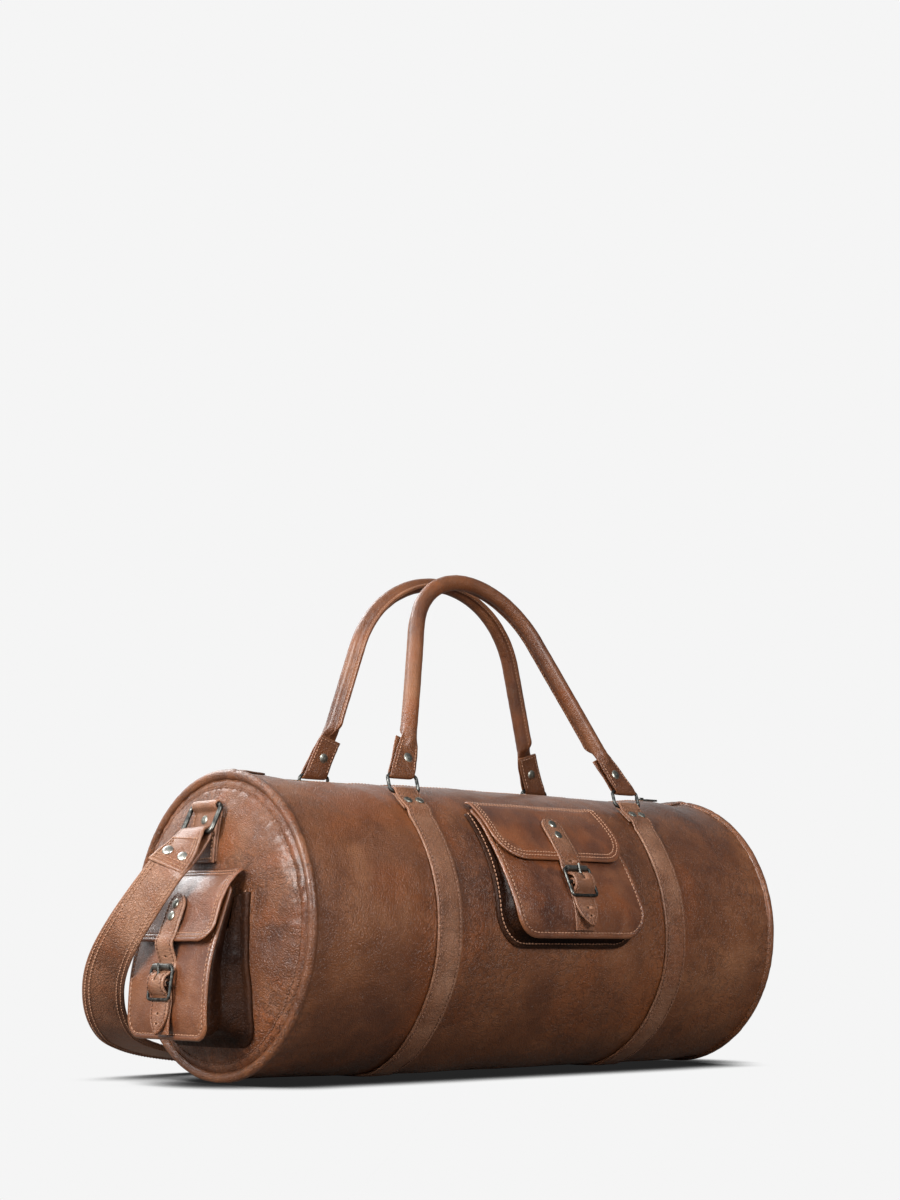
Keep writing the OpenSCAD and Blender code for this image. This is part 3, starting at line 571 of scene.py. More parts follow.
# ------------------------------------------------------------------ body
def skin_offset(x, a):
    """How far the filled leather stands from the plain barrel, in mm."""
    p = np.stack(np.broadcast_arrays(x, 126 * np.sin(np.radians(a)), 126 * np.cos(np.radians(a))), -1)
    near = HALF_PANEL + 4 - np.abs(p[..., 0])
    calm = step(near, 2, 46)
    top = step(p[..., 2], 60, 125)
    broad = fbm(p, 105, 2, 3.1) * 2.6 * calm
    folds = fbm(p * v3(1, 0.55, 0.55), 34, 3, 7.7) * (0.55 + 0.7 * top) * calm
    pucker = (ridges(p * v3(0.35, 1, 1), 11, 1.3) - 0.5) * 0.9 * np.exp(-((near - 4) / 13) ** 2)
    drag = 0.0
    for bx in (-BAND_X, BAND_X):
        d = np.abs(p[..., 0] - bx)
        drag = drag - 0.55 * np.exp(-((d - 19) / 7) ** 2) * step(p[..., 2], -90, 20)
    wide = step(near, 6, 70) * (1 - 0.75 * step(p[..., 0], 165, 205))
    sag = 5.2 * wide * np.exp(-(from_top(a) / 21) ** 2)
    calm_zip = 1 - 0.75 * np.exp(-(from_top(a) / 9) ** 2)
    return (broad * (1 - 0.5 * top) + folds) * calm_zip + pucker + drag - sag


def zip_dip(x, a=0.0):
    """How far the skin dips under the zip's right end."""
    return 5.0 * np.exp(-((x - 246) / 15) ** 2) * np.exp(-(from_top(a) / 13) ** 2)


def on_skin(x, a, h=0.0, floor=FLAT):
    """A point at height h over the body leather."""
    r = barrel_r(x) + skin_offset(x, a) + h
    p = polar(a, r, x)
    p[..., 2] = soft_floor(p[..., 2], floor)
    return p


ZIP_EDGE = math.degrees(math.asin(7 / BARREL_R))


def make_barrel():
    """The rolled sheet. Its two edges are turned over and stitched along the zip, and the strip
    between them is left open over the zip's length."""
    lips = np.array([0.0, 0.5, 1.1, 2.0, 3.4])
    clear = ZIP_EDGE + 5.2
    angles = np.concatenate([ZIP_EDGE + lips, np.linspace(clear, 360 - clear, 212),
                             360 - ZIP_EDGE - lips[::-1], [358.4, 360.0, 361.6]])
    end = HALF_PANEL + 3.5
    xs = np.concatenate([np.linspace(-end, ZIP_LEFT, 12), np.linspace(ZIP_LEFT, ZIP_RIGHT, 172)[1:],
                         np.linspace(ZIP_RIGHT, end, 6)[1:]])
    a, x = np.meshgrid(angles, xs, indexing="ij")
    p = on_skin(x, a)
    gap = np.abs(from_top(a)) - ZIP_EDGE
    roll = np.select([gap < 0.05, gap < 0.7, gap < 1.3, gap < 2.3], [-1.3, -0.1, 0.55, 0.5], 0.0)
    stitch = np.where(np.abs(gap - 2.0) < 0.2, -0.45, 0.0)
    beside = (x >= ZIP_LEFT - 0.1) & (x <= ZIP_RIGHT + 0.1)
    p[..., 2] += np.where(beside, roll + stitch, 0) - zip_dip(x, a)
    hole = np.zeros(a.shape, bool)
    hole[-4:] = (xs >= ZIP_LEFT - 0.1) & (xs < ZIP_RIGHT - 0.1)
    piece("body_panel", grid(p, close_u=True, skip=hole), body_leather, "bag_body",
          ["body_panel"], thickness=2.2)


def make_lining():
    a, x = np.meshgrid(np.linspace(8, 352, 120), np.linspace(-268, 268, 90), indexing="ij")
    p = on_skin(x, a, -3.4, FLAT + 3.0)
    piece("lining", grid(p), cloth, "bag_body", ["lining"], thickness=0.9)


def make_zip_stitches():
    x = np.linspace(ZIP_LEFT + 2, ZIP_RIGHT - 2, 200)
    rows = []
    for side in (-1, 1):
        a = side * (ZIP_EDGE + 2.0)
        q = on_skin(x, a, 0.1)
        q[:, 2] -= zip_dip(x, a)
        rows.append(stitch_row(q, polar(a, 1, 0 * x) - polar(a, 0, 0 * x), pitch=3.6))
    piece("zip_stitches", join(rows), tan_thread, "bag_body")


# ------------------------------------------------------------------ ends
SEAM_IN = 6.3  # from the disc's edge to its stitches


def end_surface(r, a, side, h=0.0):
    """A point of an end panel's outer face. a is in degrees from the top, clockwise from the front."""
    y, z = -r * np.sin(np.radians(a)), r * np.cos(np.radians(a))
    p = np.stack(np.broadcast_arrays(0 * r + side * 40.0, y, z), -1)
    rim = RIM_R - r
    calm = step(rim, 0, 20)
    broad = fbm(p, 62, 2, 5.5 + side) * 2.6 * calm
    folds = fbm(p, 24, 3, 2.2 + side) * 0.9 * calm
    # Puckers run across the seam, so their noise is stretched along the radius.
    round_y, round_z = 118 * np.sin(np.radians(a)), 118 * np.cos(np.radians(a))
    flow = np.stack(np.broadcast_arrays(r * 0.28, round_y, round_z), -1)
    gather = 1 + 0.15 * np.exp(-((from_top(a) - 14) / 17) ** 2)
    pucker = (ridges(flow, 9.5, 4.4 + side) - 0.45) * 1.35 * gather * np.exp(-((rim - 7) / 11) ** 2)
    seam = -1.0 * np.exp(-((rim - SEAM_IN) / 1.4) ** 2) + 0.7 * np.exp(-((rim - 2.0) / 2.6) ** 2)
    x = face_x(r) + broad + folds + pucker + seam + h
    return np.stack(np.broadcast_arrays(side * x, y, AXIS_Z + z), -1)


def make_end_panel(side, name):
    n = 240
    radii = np.concatenate([[2.0], np.linspace(5, 96, 34), np.linspace(97.5, RIM_R + 1.4, 20)])
    r, a = np.meshgrid(radii, np.linspace(0, 360, n, endpoint=False), indexing="ij")
    verts, faces = grid(end_surface(r, a, side), close_v=True)
    centre = len(verts)
    verts = np.vstack([verts, end_surface(np.zeros(1), np.zeros(1), side)])
    faces += [(centre, (i + 1) % n, i) for i in range(n)]
    piece(f"end_panel_{name}", (verts, faces), end_leather, "bag_body",
          [f"end_panel_{name}"], thickness=2.2)
    a = np.linspace(0, 360, 400, endpoint=False)
    q = end_surface(np.full(400, RIM_R - SEAM_IN), a, side, 0.15)
    out = np.tile(v3(side, 0, 0), (400, 1))
    piece(f"end_stitches_{name}", stitch_row(q, out, pitch=3.7, closed=True), brown_thread,
          "bag_body")


def make_piping(side, name):
    """A leather roll round the end, with creases across it and a small overlap at the top."""
    a, turn = np.meshgrid(np.linspace(0, 360, 420, endpoint=False),
                          np.linspace(0, 2 * math.pi, 18, endpoint=False), indexing="ij")
    centre = polar(a, 123.5, side * 274.7)
    out = unit(polar(a, 1.0) - polar(a, 0.0))
    r = 4.3 + fbm(centre, 7, 3, 9.0 + side) * 0.22
    r += 0.55 * np.exp(-((from_top(a) - 6) / 2.0) ** 2) - 0.3 * np.exp(-((from_top(a) - 9.5) / 1.0) ** 2)
    p = centre + out * (r * np.cos(turn))[..., None] + X_AXIS * (side * r * np.sin(turn))[..., None]
    p[..., 2] = soft_floor(p[..., 2], 0.3, 0.5)
    piece(f"piping_{name}", grid(p, close_u=True, close_v=True), edge_leather, "bag_body",
          [f"piping_{name}"])


# ------------------------------------------------------------------ zip
def make_zip_tapes():
    strips = []
    x = np.linspace(tape_low[0], tape_high[0], 170)
    up = np.tile(v3(0, 0, 1), (len(x), 1))
    for side in (-1, 1):
        wave = 0.15 * np.sin(x / 9.0)
        path = np.stack([x, 0 * x + side * 8.3, ZIP_Z + 0.4 + wave], 1)
        strips.append(ribbon(path, up, 13.4, 0.8, groove=0.0, crown=0.0, rough=0.1)[0])
    piece("zip_tapes", join(strips), tape_cloth, "bag_body", ["zip_tapes"])


def make_zip_tabs():
    """A leather tab over each end of the zip, curved with the skin."""
    tabs = []
    for x0, x1 in ((-266, -243), (257.5, 269)):
        xs = np.linspace(x0, x1, 16)
        path = on_skin(xs, 0 * xs, 1.5)
        path[:, 2] -= zip_dip(xs)
        w = np.full(16, 34.0) - 6 * step(xs, -250, -243) * (x0 < 0)
        verts, faces = ribbon(path, np.tile(v3(0, 0, 1), (16, 1)), w, 1.6, seed=2.0)[0]
        verts[:, 2] -= verts[:, 1] ** 2 / 262.0
        tabs.append((verts, faces))
    piece("zip_end_tabs", join(tabs), dark_leather, "bag_body", ["zip_end_tabs"])


# ------------------------------------------------------------------ bands
def band_loop(ring, way):
    """Points (y, z) of a band's end: from its inner end up and round the ring's lower bar. way is 1
    where the band leaves towards the front."""
    low = [polar(ring + way * a, barrel_r(BAND_X) + h)[1:]
           for a, h in ((9.0, 1.5), (6.0, 1.6), (3.2, 1.8), (1.6, 2.4))]
    bar = polar(ring, BAR_R)[1:]
    up = unit(bar - v3(0, AXIS_Z))
    along = way * v3(-up[1], up[0])
    return low + [bar - 2.75 * (math.cos(q) * up + math.sin(q) * along)
                  for q in np.radians([25, 60, 90, 120, 155])]


def make_band(side, name):
    bx, t = side * BAND_X, 2.2
    over = ((1.6, 5.3), (4.0, 3.9), (8.0, 3.8), (10.5, 3.6))
    front = [polar(FRONT_RING + a, barrel_r(BAND_X) + h)[1:] for a, h in over]
    back = [polar(BACK_RING - a, barrel_r(BAND_X) + h)[1:] for a, h in over[::-1]]
    run_a = np.linspace(FRONT_RING + 13.5, 360 + BACK_RING - 13.5, 130)
    run = on_skin(np.full(130, bx), run_a, 0.35 + t / 2, FLAT)
    run[:, 2] = np.maximum(run[:, 2], 0.25 + t / 2)
    keys = band_loop(FRONT_RING, 1) + front + list(run[:, 1:]) + back + band_loop(BACK_RING, -1)[::-1]
    yz = spline(np.array(keys), 1.8)
    # Under the bag the band is pressed flat on the floor.
    under = yz[:, 1] < FLAT + 1.4
    path = np.column_stack([np.full(len(yz), bx), yz[:, 0], np.maximum(yz[:, 1], 1.35)])
    out = unit(np.cross(tangents(path), X_AXIS))
    third = len(path) // 3
    if np.dot(out[third], path[third] - v3(bx, 0, AXIS_Z)) < 0:
        out = -out
    s = np.arange(len(path)) * 1.8
    ends = np.minimum(s, s[-1] - s)
    w = BAND_W - 2.2 * np.exp(-((ends - 22) / 9) ** 2)
    (verts, faces), across, up = ribbon(path, out, w, t, rough=0.3, seed=4.0 + side, row=2.9)
    verts[:, 2] = np.maximum(verts[:, 2], 0.1)
    piece(f"band_{name}", (verts, faces), strap_leather, "bag_body", [f"band_{name}"])
    rows = []
    for idx in runs((ends > 34) & ~under):
        for k in (-1, 1):
            q = path[idx] + across[idx] * (k * (BAND_W / 2 - 2.9)) + up[idx] * (t / 2)
            rows.append(stitch_row(q, up[idx], pitch=3.7))
    piece(f"band_stitches_{name}", join(rows), brown_thread, "bag_body")


# ------------------------------------------------------------------ handles
ROLL_R = 6.8


class Handle:
    """One handle's shape. It is drawn upright in the plane of its legs, then leaned by world().
    seam is 1 or -1: the way along y that the seam and the folded-up ends lie."""

    def __init__(self, name, ring, splay, lean, seam, skew, stretch):
        self.name, self.seam, self.skew, self.stretch = name, seam, skew, stretch
        self.splay, self.lean = math.radians(splay), math.radians(lean)
        self.origin = polar(ring, BAR_R)
        half_span, self.height, tab = 133.0, 207.0, 36.0
        c, sn = math.cos(self.splay), math.sin(self.splay)
        self.side, way = v3(c, 0, sn), v3(-sn, 0, c)
        self.radius = (half_span * c + RING_H * sn - self.height * sn) / (1 - sn)
        self.centre_z = self.height - self.radius
        self.bar = v3(BAND_X, 0, RING_H)
        self.top, self.way = v3(half_span, 0, RING_H) + way * tab, way
        self.line = unit(self.top - self.bar)
        self.reach = float(np.linalg.norm(self.top - self.bar))
        bend = v3(self.radius * c, 0, self.centre_z + self.radius * sn)
        self.leg = self.reach + float(np.linalg.norm(bend - self.top))

    def at(self, d):
        """A point of the right leg, d mm from the ring's upper bar."""
        return self.bar + self.line * d if d <= self.reach else self.top + self.way * (d - self.reach)

    def world(self, p):
        """Into the frame; a packed bag's handles stand a little askew."""
        k = np.clip(p[..., 2] / self.height, 0, 1.1)
        tall = p[..., 2] * (1 + self.stretch * k)
        y = p[..., 1] * math.cos(self.lean) - tall * math.sin(self.lean)
        z = p[..., 1] * math.sin(self.lean) + tall * math.cos(self.lean)
        return np.stack([p[..., 0] + self.skew * k ** 1.4, self.origin[1] + y, self.origin[2] + z], -1)

    def curve(self):
        """The whole strip from its right inner end to its left one. Each row is a point, half
        width, half thickness, and the radius of the roll on its outer and inner side."""
        y_axis = v3(0, self.seam, 0)
        keys = []
        for d, h, w in ((self.reach, 2.9, 11.6), (self.reach * 0.75, 2.3, 12.0),
                        (self.reach * 0.5, 2.0, 12.2), (self.reach * 0.28, 2.1, 12.6), (4.0, 2.6, 13.0)):
            keys.append([*(self.at(d) + y_axis * h), w, 1.0, 0.0, 0.0])
        for q in np.radians([125, 155, 180, 205, 235]):
            round_bar = self.bar + 2.75 * (math.cos(q) * self.line + math.sin(q) * y_axis)
            keys.append([*round_bar, 13.2, 1.0, 0.0, 0.0])
        for d, h, w, t, r_out, r_in in ((4.0, 2.6, 13.0, 1.0, 0, 0), (9.0, 2.3, 12.6, 1.0, 0, 0),
                                        (15, 2.1, 11.8, 1.0, 0, 0), (21, 2.1, 11.2, 1.0, 0, 0),
                                        (27, 2.0, 10.6, 1.0, 3.0, 0), (33, 1.7, 9.6, 1.1, 4.8, 0),
                                        (39, 1.1, 8.2, 1.8, 6.0, 3.0), (45, 0.4, 7.2, 4.6, 6.7, 6.2),
                                        (51, 0.0, 6.8, 6.8, 6.8, 6.8)):
            keys.append([*(self.at(d) - y_axis * h), w, t, r_out, r_in])
        keys += [[*self.at(d), *[ROLL_R] * 4] for d in np.arange(58, self.leg - 3, 7.0)]
        for a in np.radians(np.linspace(math.degrees(self.splay), 90, 22)):
            x, z = self.radius * math.cos(a), self.centre_z + self.radius * math.sin(a)
            keys.append([x, 0, z, *[ROLL_R] * 4])
        mirrored = [[-k[0], *k[1:]] for k in keys[:-1]][::-1]
        return resample(spline(keys + mirrored, 1.0), 1.7, 3)


def handle_section(half_w, half_t, r_out, r_in, seam):
    """Cross-sections (u, v) along a handle: flat at its ends, round where it is rolled, with the
    roll's two sewn edges standing up along the seam."""
    half_w, half_t, r_out, r_in = (q[:, None] for q in (half_w, half_t, r_out, r_in))
    flat = 1 - half_t / ROLL_R
    turn = np.radians(np.linspace(14, 346, 34))
    power = 1 - 0.6 * flat
    u = np.sign(np.sin(turn)) * np.abs(np.sin(turn)) ** power * half_w
    v = np.abs(np.cos(turn)) ** power * half_t
    bulge = np.where(np.cos(turn) < 0, r_out, r_in)
    v = np.sign(np.cos(turn)) * np.maximum(v, np.sqrt(np.maximum(bulge ** 2 - u ** 2, 0)))
    flange = np.array([(-1.55, 0.25, 0), (-1.4, 0.7, 0), (-1.25, 1, 0), (-0.55, 1, 0.35), (0, 1, -0.15),
                       (0.55, 1, 0.35), (1.25, 1, 0), (1.4, 0.7, 0), (1.55, 0.25, 0)])
    flange_u = np.tile(flange[:, 0], (len(half_w), 1))
    flange_v = half_t + (1 - flat) ** 2 * (5.0 * flange[:, 1] + flange[:, 2])
    return np.hstack([u, flange_u]), np.hstack([v, flange_v]) * seam


def make_handle(handle):
    """A strip whose ends fold round the rings' upper bars, rolled up round a cord between them."""
    name, body, seam = handle.name, f"{handle.name}_handle", handle.seam
    curve = handle.curve()
    path, half_w, half_t = curve[:, :3], curve[:, 3], curve[:, 4]
    flip = np.where(path[:, :1] > 0, 1.0, -1.0) * v3(1, 0, 0) + v3(0, 1, 1)
    d = (path * flip - handle.bar) @ handle.line
    tan = tangents(path)
    mix = np.clip(d / handle.reach, 0, 1)[:, None]
    tab = unit((1 - mix) * X_AXIS + mix * handle.side) * -1 * flip
    across = np.where((d < handle.reach + 1)[:, None], tab, unit(np.cross(tan, v3(0, 1, 0))))
    nor = unit(np.cross(across, tan))
    u, v = handle_section(half_w, half_t, curve[:, 5], curve[:, 6], seam)
    p = path[:, None] + across[:, None] * u[..., None] + nor[:, None] * v[..., None]
    s = np.arange(len(path)) * 1.7
    flow = np.stack([np.broadcast_to(s[:, None] * 0.8, u.shape), u, v], -1)
    pucker = np.exp(-((d - 36) / 9) ** 2)
    wrinkle = fbm(flow, 6, 3, 3.0 + math.degrees(handle.splay)) * (0.18 + 0.5 * pucker)[:, None]
    p = p + unit(p - path[:, None]) * wrinkle[..., None]
    piece(f"handle_{name}_cover", capped(handle.world(p)), handle_leather, body,
          [f"handle_{name}_cover"])
    rolled = d > 50
    turn = np.radians(np.arange(12) * 30.0)[:, None]
    spoke = across[rolled][:, None] * np.cos(turn) + nor[rolled][:, None] * np.sin(turn)
    piece(f"handle_{name}_core", capped(handle.world(path[rolled][:, None] + spoke * 4.4)), cord_cloth,
          body, [f"handle_{name}_core"])
    rows = []

    def row(q, lift, pitch=3.4, length=2.5):
        a = handle.world(q)
        rows.append(stitch_row(a, handle.world(q + lift) - a, pitch=pitch, length=length, r=0.46))

    for k in (-1, 1):
        on_seam = path + nor * (seam * (half_t + 3.3))[:, None] + across * (k * 1.42)
        on_edge = path + across * (k * (half_w - 2.6))[:, None] - nor * (seam * (half_t + 0.02))[:, None]
        for idx in runs(rolled):
            row(on_seam[idx], across[idx] * k)
        for idx in runs((d > 5) & (d < 33)):
            row(on_edge[idx], nor[idx] * -seam)
    for end in (-1, 1):
        over = np.linspace(-9, 9, 12)[:, None]
        q = handle.at(handle.reach - 2.8) + v3(0, seam * 3.75, 0) - handle.side * over
        row(q * v3(end, 1, 1), v3(0, seam, 0), 3.3, 2.4)
    piece(f"handle_{name}_stitches", join(rows), tan_thread, body)


# ------------------------------------------------------------------ closures
# A closure strap's way through its buckle, from its tip up: (y, z) from the buckle's centre bar, in
# mm, with -y outwards.
THREADED = [(2.8, -41), (2.8, -28), (2.8, -16), (2.0, -10.5), (-3.6, -5.0), (-5.0, 0), (-3.6, 5.0),
            (2.6, 9.8), (4.3, 13.2), (4.5, 18)]


class Buckle:
    """Where a buckle sits in a pocket's local frame, in which -y is outwards. tilt is in degrees."""

    def __init__(self, part, place, centre, tilt):
        self.part, self.place, self.centre, self.tilt = part, place, centre, math.radians(tilt)

    def yz(self, p):
        """A point given from the centre bar."""
        c, sn = math.cos(self.tilt), math.sin(self.tilt)
        return self.centre[0] + p[0] * c - p[1] * sn, self.centre[1] + p[0] * sn + p[1] * c


def cut(o, cutters):
    """Cuts round or oblong holes through a strap."""
    for i, c in enumerate(cutters):
        m = o.modifiers.new(f"hole{i}", "BOOLEAN")
        m.operation = "DIFFERENCE"
        m.solver = "EXACT"
        m.object = c
    bpy.context.view_layer.update()
    dg = bpy.context.evaluated_depsgraph_get()
    made = bpy.data.meshes.new_from_object(o.evaluated_get(dg))
    o.modifiers.clear()
    o.data = made
    for c in cutters:
        bpy.data.objects.remove(c)


def cutter(points, way, reach=9.0):
    """A prism of an outline (n, 3) in mm, along a direction."""
    p = np.stack([points - way * reach, points + way * reach])
    verts, faces = capped(p)
    data = bpy.data.meshes.new("cutter")
    data.from_pydata((verts * MM).tolist(), [], faces)
    bm = bmesh.new()
    bm.from_mesh(data)
    bmesh.ops.recalc_face_normals(bm, faces=bm.faces)
    bm.to_mesh(data)
    bm.free()
    o = bpy.data.objects.new("cutter", data)
    bpy.context.scene.collection.objects.link(o)
    return o


def make_closure(buckle, tail):
    """The strap that is sewn to the flap and threaded through the buckle. tail is its way up the
    flap, in the pocket's local (y, z)."""
    part, place, width = buckle.part, buckle.place, 24.6
    yz = spline([buckle.yz(p) for p in THREADED] + tail, 1.3)
    path = np.column_stack([np.zeros(len(yz)), yz])
    tan = tangents(path)
    s = np.concatenate([[0], np.cumsum(np.linalg.norm(np.diff(path, axis=0), axis=1))])
    tip = np.clip(s / 19.0, 0, 1)
    top = np.clip((s[-1] - s) / (width / 2), 0, 1)
    w = width * np.maximum(np.sin(tip * math.pi / 2) ** 0.75, 0.03)
    w = w * np.maximum(np.sqrt(1 - (1 - top) ** 2), 0.05)
    w = w * (1 - 0.04 * np.exp(-((s - 44) / 8) ** 2))
    (verts, faces), _, up = ribbon(path, np.cross(X_AXIS, tan), w, 2.3, across=np.tile(X_AXIS, (len(s), 1)),
                                   rough=0.2, seed=8.0, row=2.8)
    strap = piece(f"{part}_pocket_strap", (place(verts), faces), strap_leather, f"{part}_flap",
                  [f"{part}_pocket_strap"])
    circle = np.radians(np.arange(12) * 30.0)[:, None]

    def hole(at, long=1.25):
        i = int(np.argmin(np.abs(s - at)))
        outline = path[i] + X_AXIS * (1.25 * np.cos(circle)) + tan[i] * (long * np.sin(circle))
        way = place((path[i] + up[i])[None])[0] - place(path[i][None])[0]
        return cutter(place(outline), way)

    # The tongue's slot is where the strap passes it above the centre bar.
    slot = s[int(np.argmin(np.abs(yz[:, 1] - buckle.yz((0, 6.0))[1]) + (s < 30) * 99))]
    cut(strap, [hole(9.5), hole(17.5), hole(slot, 5.2), hole(slot + 21)])
    out = up if np.mean(up[:, 1]) <= 0 else -up
    inner = (s > 4) & (s < s[-1] - 2)
    rows = []
    for k in (-1, 1):
        q = (path + X_AXIS * (k * np.maximum(w / 2 - 2.7, 0.2))[:, None] + out * 1.15)[inner]
        rows.append(stitch_row(place(q), place(q + out[inner]) - place(q), pitch=3.3, length=2.4, r=0.48))
    piece(f"{part}_strap_stitches", join(rows), brown_thread, f"{part}_flap")


def make_chape(buckle, tail):
    """Two loops round the buckle's centre bar, one each side of the tongue, and a tail below."""
    def strip(keys, x, width, thick, spacing, **shape):
        yz = spline([buckle.yz(p) for p in keys], spacing)
        path = np.column_stack([np.full(len(yz), x), yz])
        across = np.tile(X_AXIS, (len(yz), 1))
        return ribbon(path, np.cross(X_AXIS, tangents(path)), width, thick, across=across, **shape)[0]

    loop = [(2.45 * math.cos(q), 2.45 * math.sin(q)) for q in np.radians(np.linspace(250, -20, 12))]
    loop += [(3.2, -4.0), (4.4, -9)]
    parts = [strip(loop, x, 9.1, 1.7, 1.0, groove=0.0, crown=0.1, row=2.0) for x in (-6.45, 6.45)]
    parts.append(strip([(2.6, -2.6), (3.3, -5.5)] + tail, -1.0, 22.0, 1.8, 1.2, seed=3.0))
    verts, faces = join(parts)
    piece(f"{buckle.part}_pocket_chape", (buckle.place(verts), faces), strap_leather, "bag_body",
          [f"{buckle.part}_pocket_chape"])


# ------------------------------------------------------------------ pocket parts
def open_line(outline, top):
    """The stretch of a closed outline below the height top."""
    on = outline[:, 1] < top
    start = int(np.argmax(on & ~np.roll(on, 1)))
    turned = np.roll(np.arange(len(on)), -start)
    return outline[turned[on[turned]]]


def make_gusset(part, on_base, flange, wall, top, inward, flats, folds, wrinkle, edge=(1.0, 1.0)):
    """A flange sewn to the bag, then a wall that folds inwards before it meets the panel at top.
    inward is a fold's way and size per mm; wrinkle is (size, seed, depth), and edge how much of it
    the last two rows keep."""
    base = on_base(wall, 1.0)
    rows = [on_base(flange * (1 - k) + wall * k, h) for k, h in flats]
    rows += [base + (top - base) * k + inward * fold for k, fold in folds]
    p = np.array(rows)
    size, seed, depth = wrinkle
    share = np.array([0.0] * len(flats) + [1.0] * (len(folds) - 2) + [*edge])[:, None]
    p = p + unit(inward) * (fbm(p, size, 3, seed) * depth * share)[..., None]
    # The wall's very dark leather is painted shade inside the pocket.
    piece(f"{part}_pocket_gusset", grid(p), gusset_shade_leather, "bag_body",
          [f"{part}_pocket_gusset"], thickness=1.3)


def make_panel(part, outline, place, levels, stitched, below):
    """A pocket's front with one row of stitches round its sides and bottom."""
    piece(f"{part}_pocket_panel", panel(outline, place, levels, 2.3), flap_leather, "bag_body",
          [f"{part}_pocket_panel"])
    rows = row_on(outline, place, stitched, 0.0, keep=lambda x, z: z < below)
    piece(f"{part}_panel_stitches", join(rows), tan_thread, "bag_body")


def make_flap(part, outline, place, levels, thick, stitched):
    """A pocket's flap with two rows of stitches round it."""
    piece(f"{part}_pocket_flap", panel(outline, place, levels, thick), flap_leather, f"{part}_flap",
          [f"{part}_pocket_flap"])
    rows = []
    for inset in stitched:
        rows += row_on(outline, place, inset, -0.05, pitch=3.3, length=2.4)
    piece(f"{part}_flap_stitches", join(rows), tan_thread, f"{part}_flap")


def profile(keys):
    """Smooth (y, z) profile as functions of z."""
    fine = spline(keys, 1.0)
    order = np.argsort(fine[:, 1])
    ys, zs = fine[order, 0], fine[order, 1]

    def at(z):
        y = np.interp(z, zs, ys)
        dy = (np.interp(z + 2, zs, ys) - np.interp(z - 2, zs, ys)) / 4.0
        k = 1 / np.sqrt(1 + dy * dy)
        return y, -k, k * dy

    return at


# ------------------------------------------------------------------ front pocket
front_low, front_high = box("front_pocket_panel")
FRONT_HALF, FRONT_FOOT = front_high[0], front_low[2]
FRONT_TOP = 229.0
front_at = profile([(-148, 117), (-147, 141), (-131, 173.5), (-113.2, 200), (-99, 217.6), (-82.5, 230.9)])
MM_PER_DEGREE = 2.36  # along the flap, which lies round the barrel
FLAP_TOP, FLAP_LONG = 36.3, 72.0
# (inset, height) from the edge inwards: a turned edge, a dip at each stitch row, then flat.
FRONT_LEVELS = [(1.2, 0.35), (2.4, 0.8), (3.8, 0.55), (4.8, -0.25), (5.8, 0.15), (7.5, 0.2), (11, 0.2),
                (17, 0.2), (25, 0.2), (34, 0.2)]
FRONT_FLAP_LEVELS = [(1.3, 0.2), (3.0, 0.15), (4.2, -0.3), (5.4, 0.25), (6.6, 0.25), (7.8, -0.3),
                     (9.2, 0.2), (13, 0.3), (20, 0.35), (30, 0.4)]


def front_outline(inset):
    return rounded(-FRONT_HALF, FRONT_HALF, FRONT_FOOT, FRONT_TOP, (24, 24, 5, 5), inset, n_side=34)


def front_panel_place(x, z, h):
    y, ny, nz = front_at(z)
    p = np.stack(np.broadcast_arrays(x, y, z), -1)
    puff = 2.2 * (1 - (x / FRONT_HALF) ** 2) * step(z, FRONT_FOOT + 1, 150) + fbm(p, 40, 3, 6.0) * 1.3
    puff = puff * step(np.minimum(FRONT_HALF - np.abs(x), z - FRONT_FOOT), 3, 26)
    n = np.stack(np.broadcast_arrays(0 * x, ny, nz), -1)
    return p + n * (h + puff)[..., None]


def front_flap_outline(inset):
    return rounded(-FRONT_HALF, FRONT_HALF, 0.0, FLAP_LONG, (29, 29, 4, 4), inset, n_side=34)


def front_flap_place(x, s, h):
    """s runs up the flap from its lower edge."""
    angle = FLAP_TOP + (FLAP_LONG - s) / MM_PER_DEGREE
    rise = np.interp(angle, [36.0, 36.6, 40, 48, 57.5, 66, 68], [0.6, 1.3, 3.9, 5.3, 6.9, 9.8, 10.6])
    r = BARREL_R + rise
    side_in = FRONT_HALF - np.abs(x)
    puff = fbm(polar(angle, r, x), 33, 3, 2.5) * 0.9 * step(np.minimum(side_in - 0.5, s), 4, 20)
    curl = 1.6 * np.exp(-(s / 9) ** 2) + 1.2 * np.exp(-(side_in / 8) ** 2) * (s < FLAP_LONG - 2)
    return polar(angle, r + 2.3 + (puff + curl) * step(angle, FLAP_TOP, 39) + h, x)


def on_barrel(q, h):
    """A point at height h over the skin's front, given by its (x, z)."""
    y = -np.sqrt(np.maximum(barrel_r(q[:, 0]) ** 2 - (q[:, 1] - AXIS_Z) ** 2, 1.0))
    return on_skin(q[:, 0], np.degrees(np.arctan2(-y, q[:, 1] - AXIS_Z)), h)


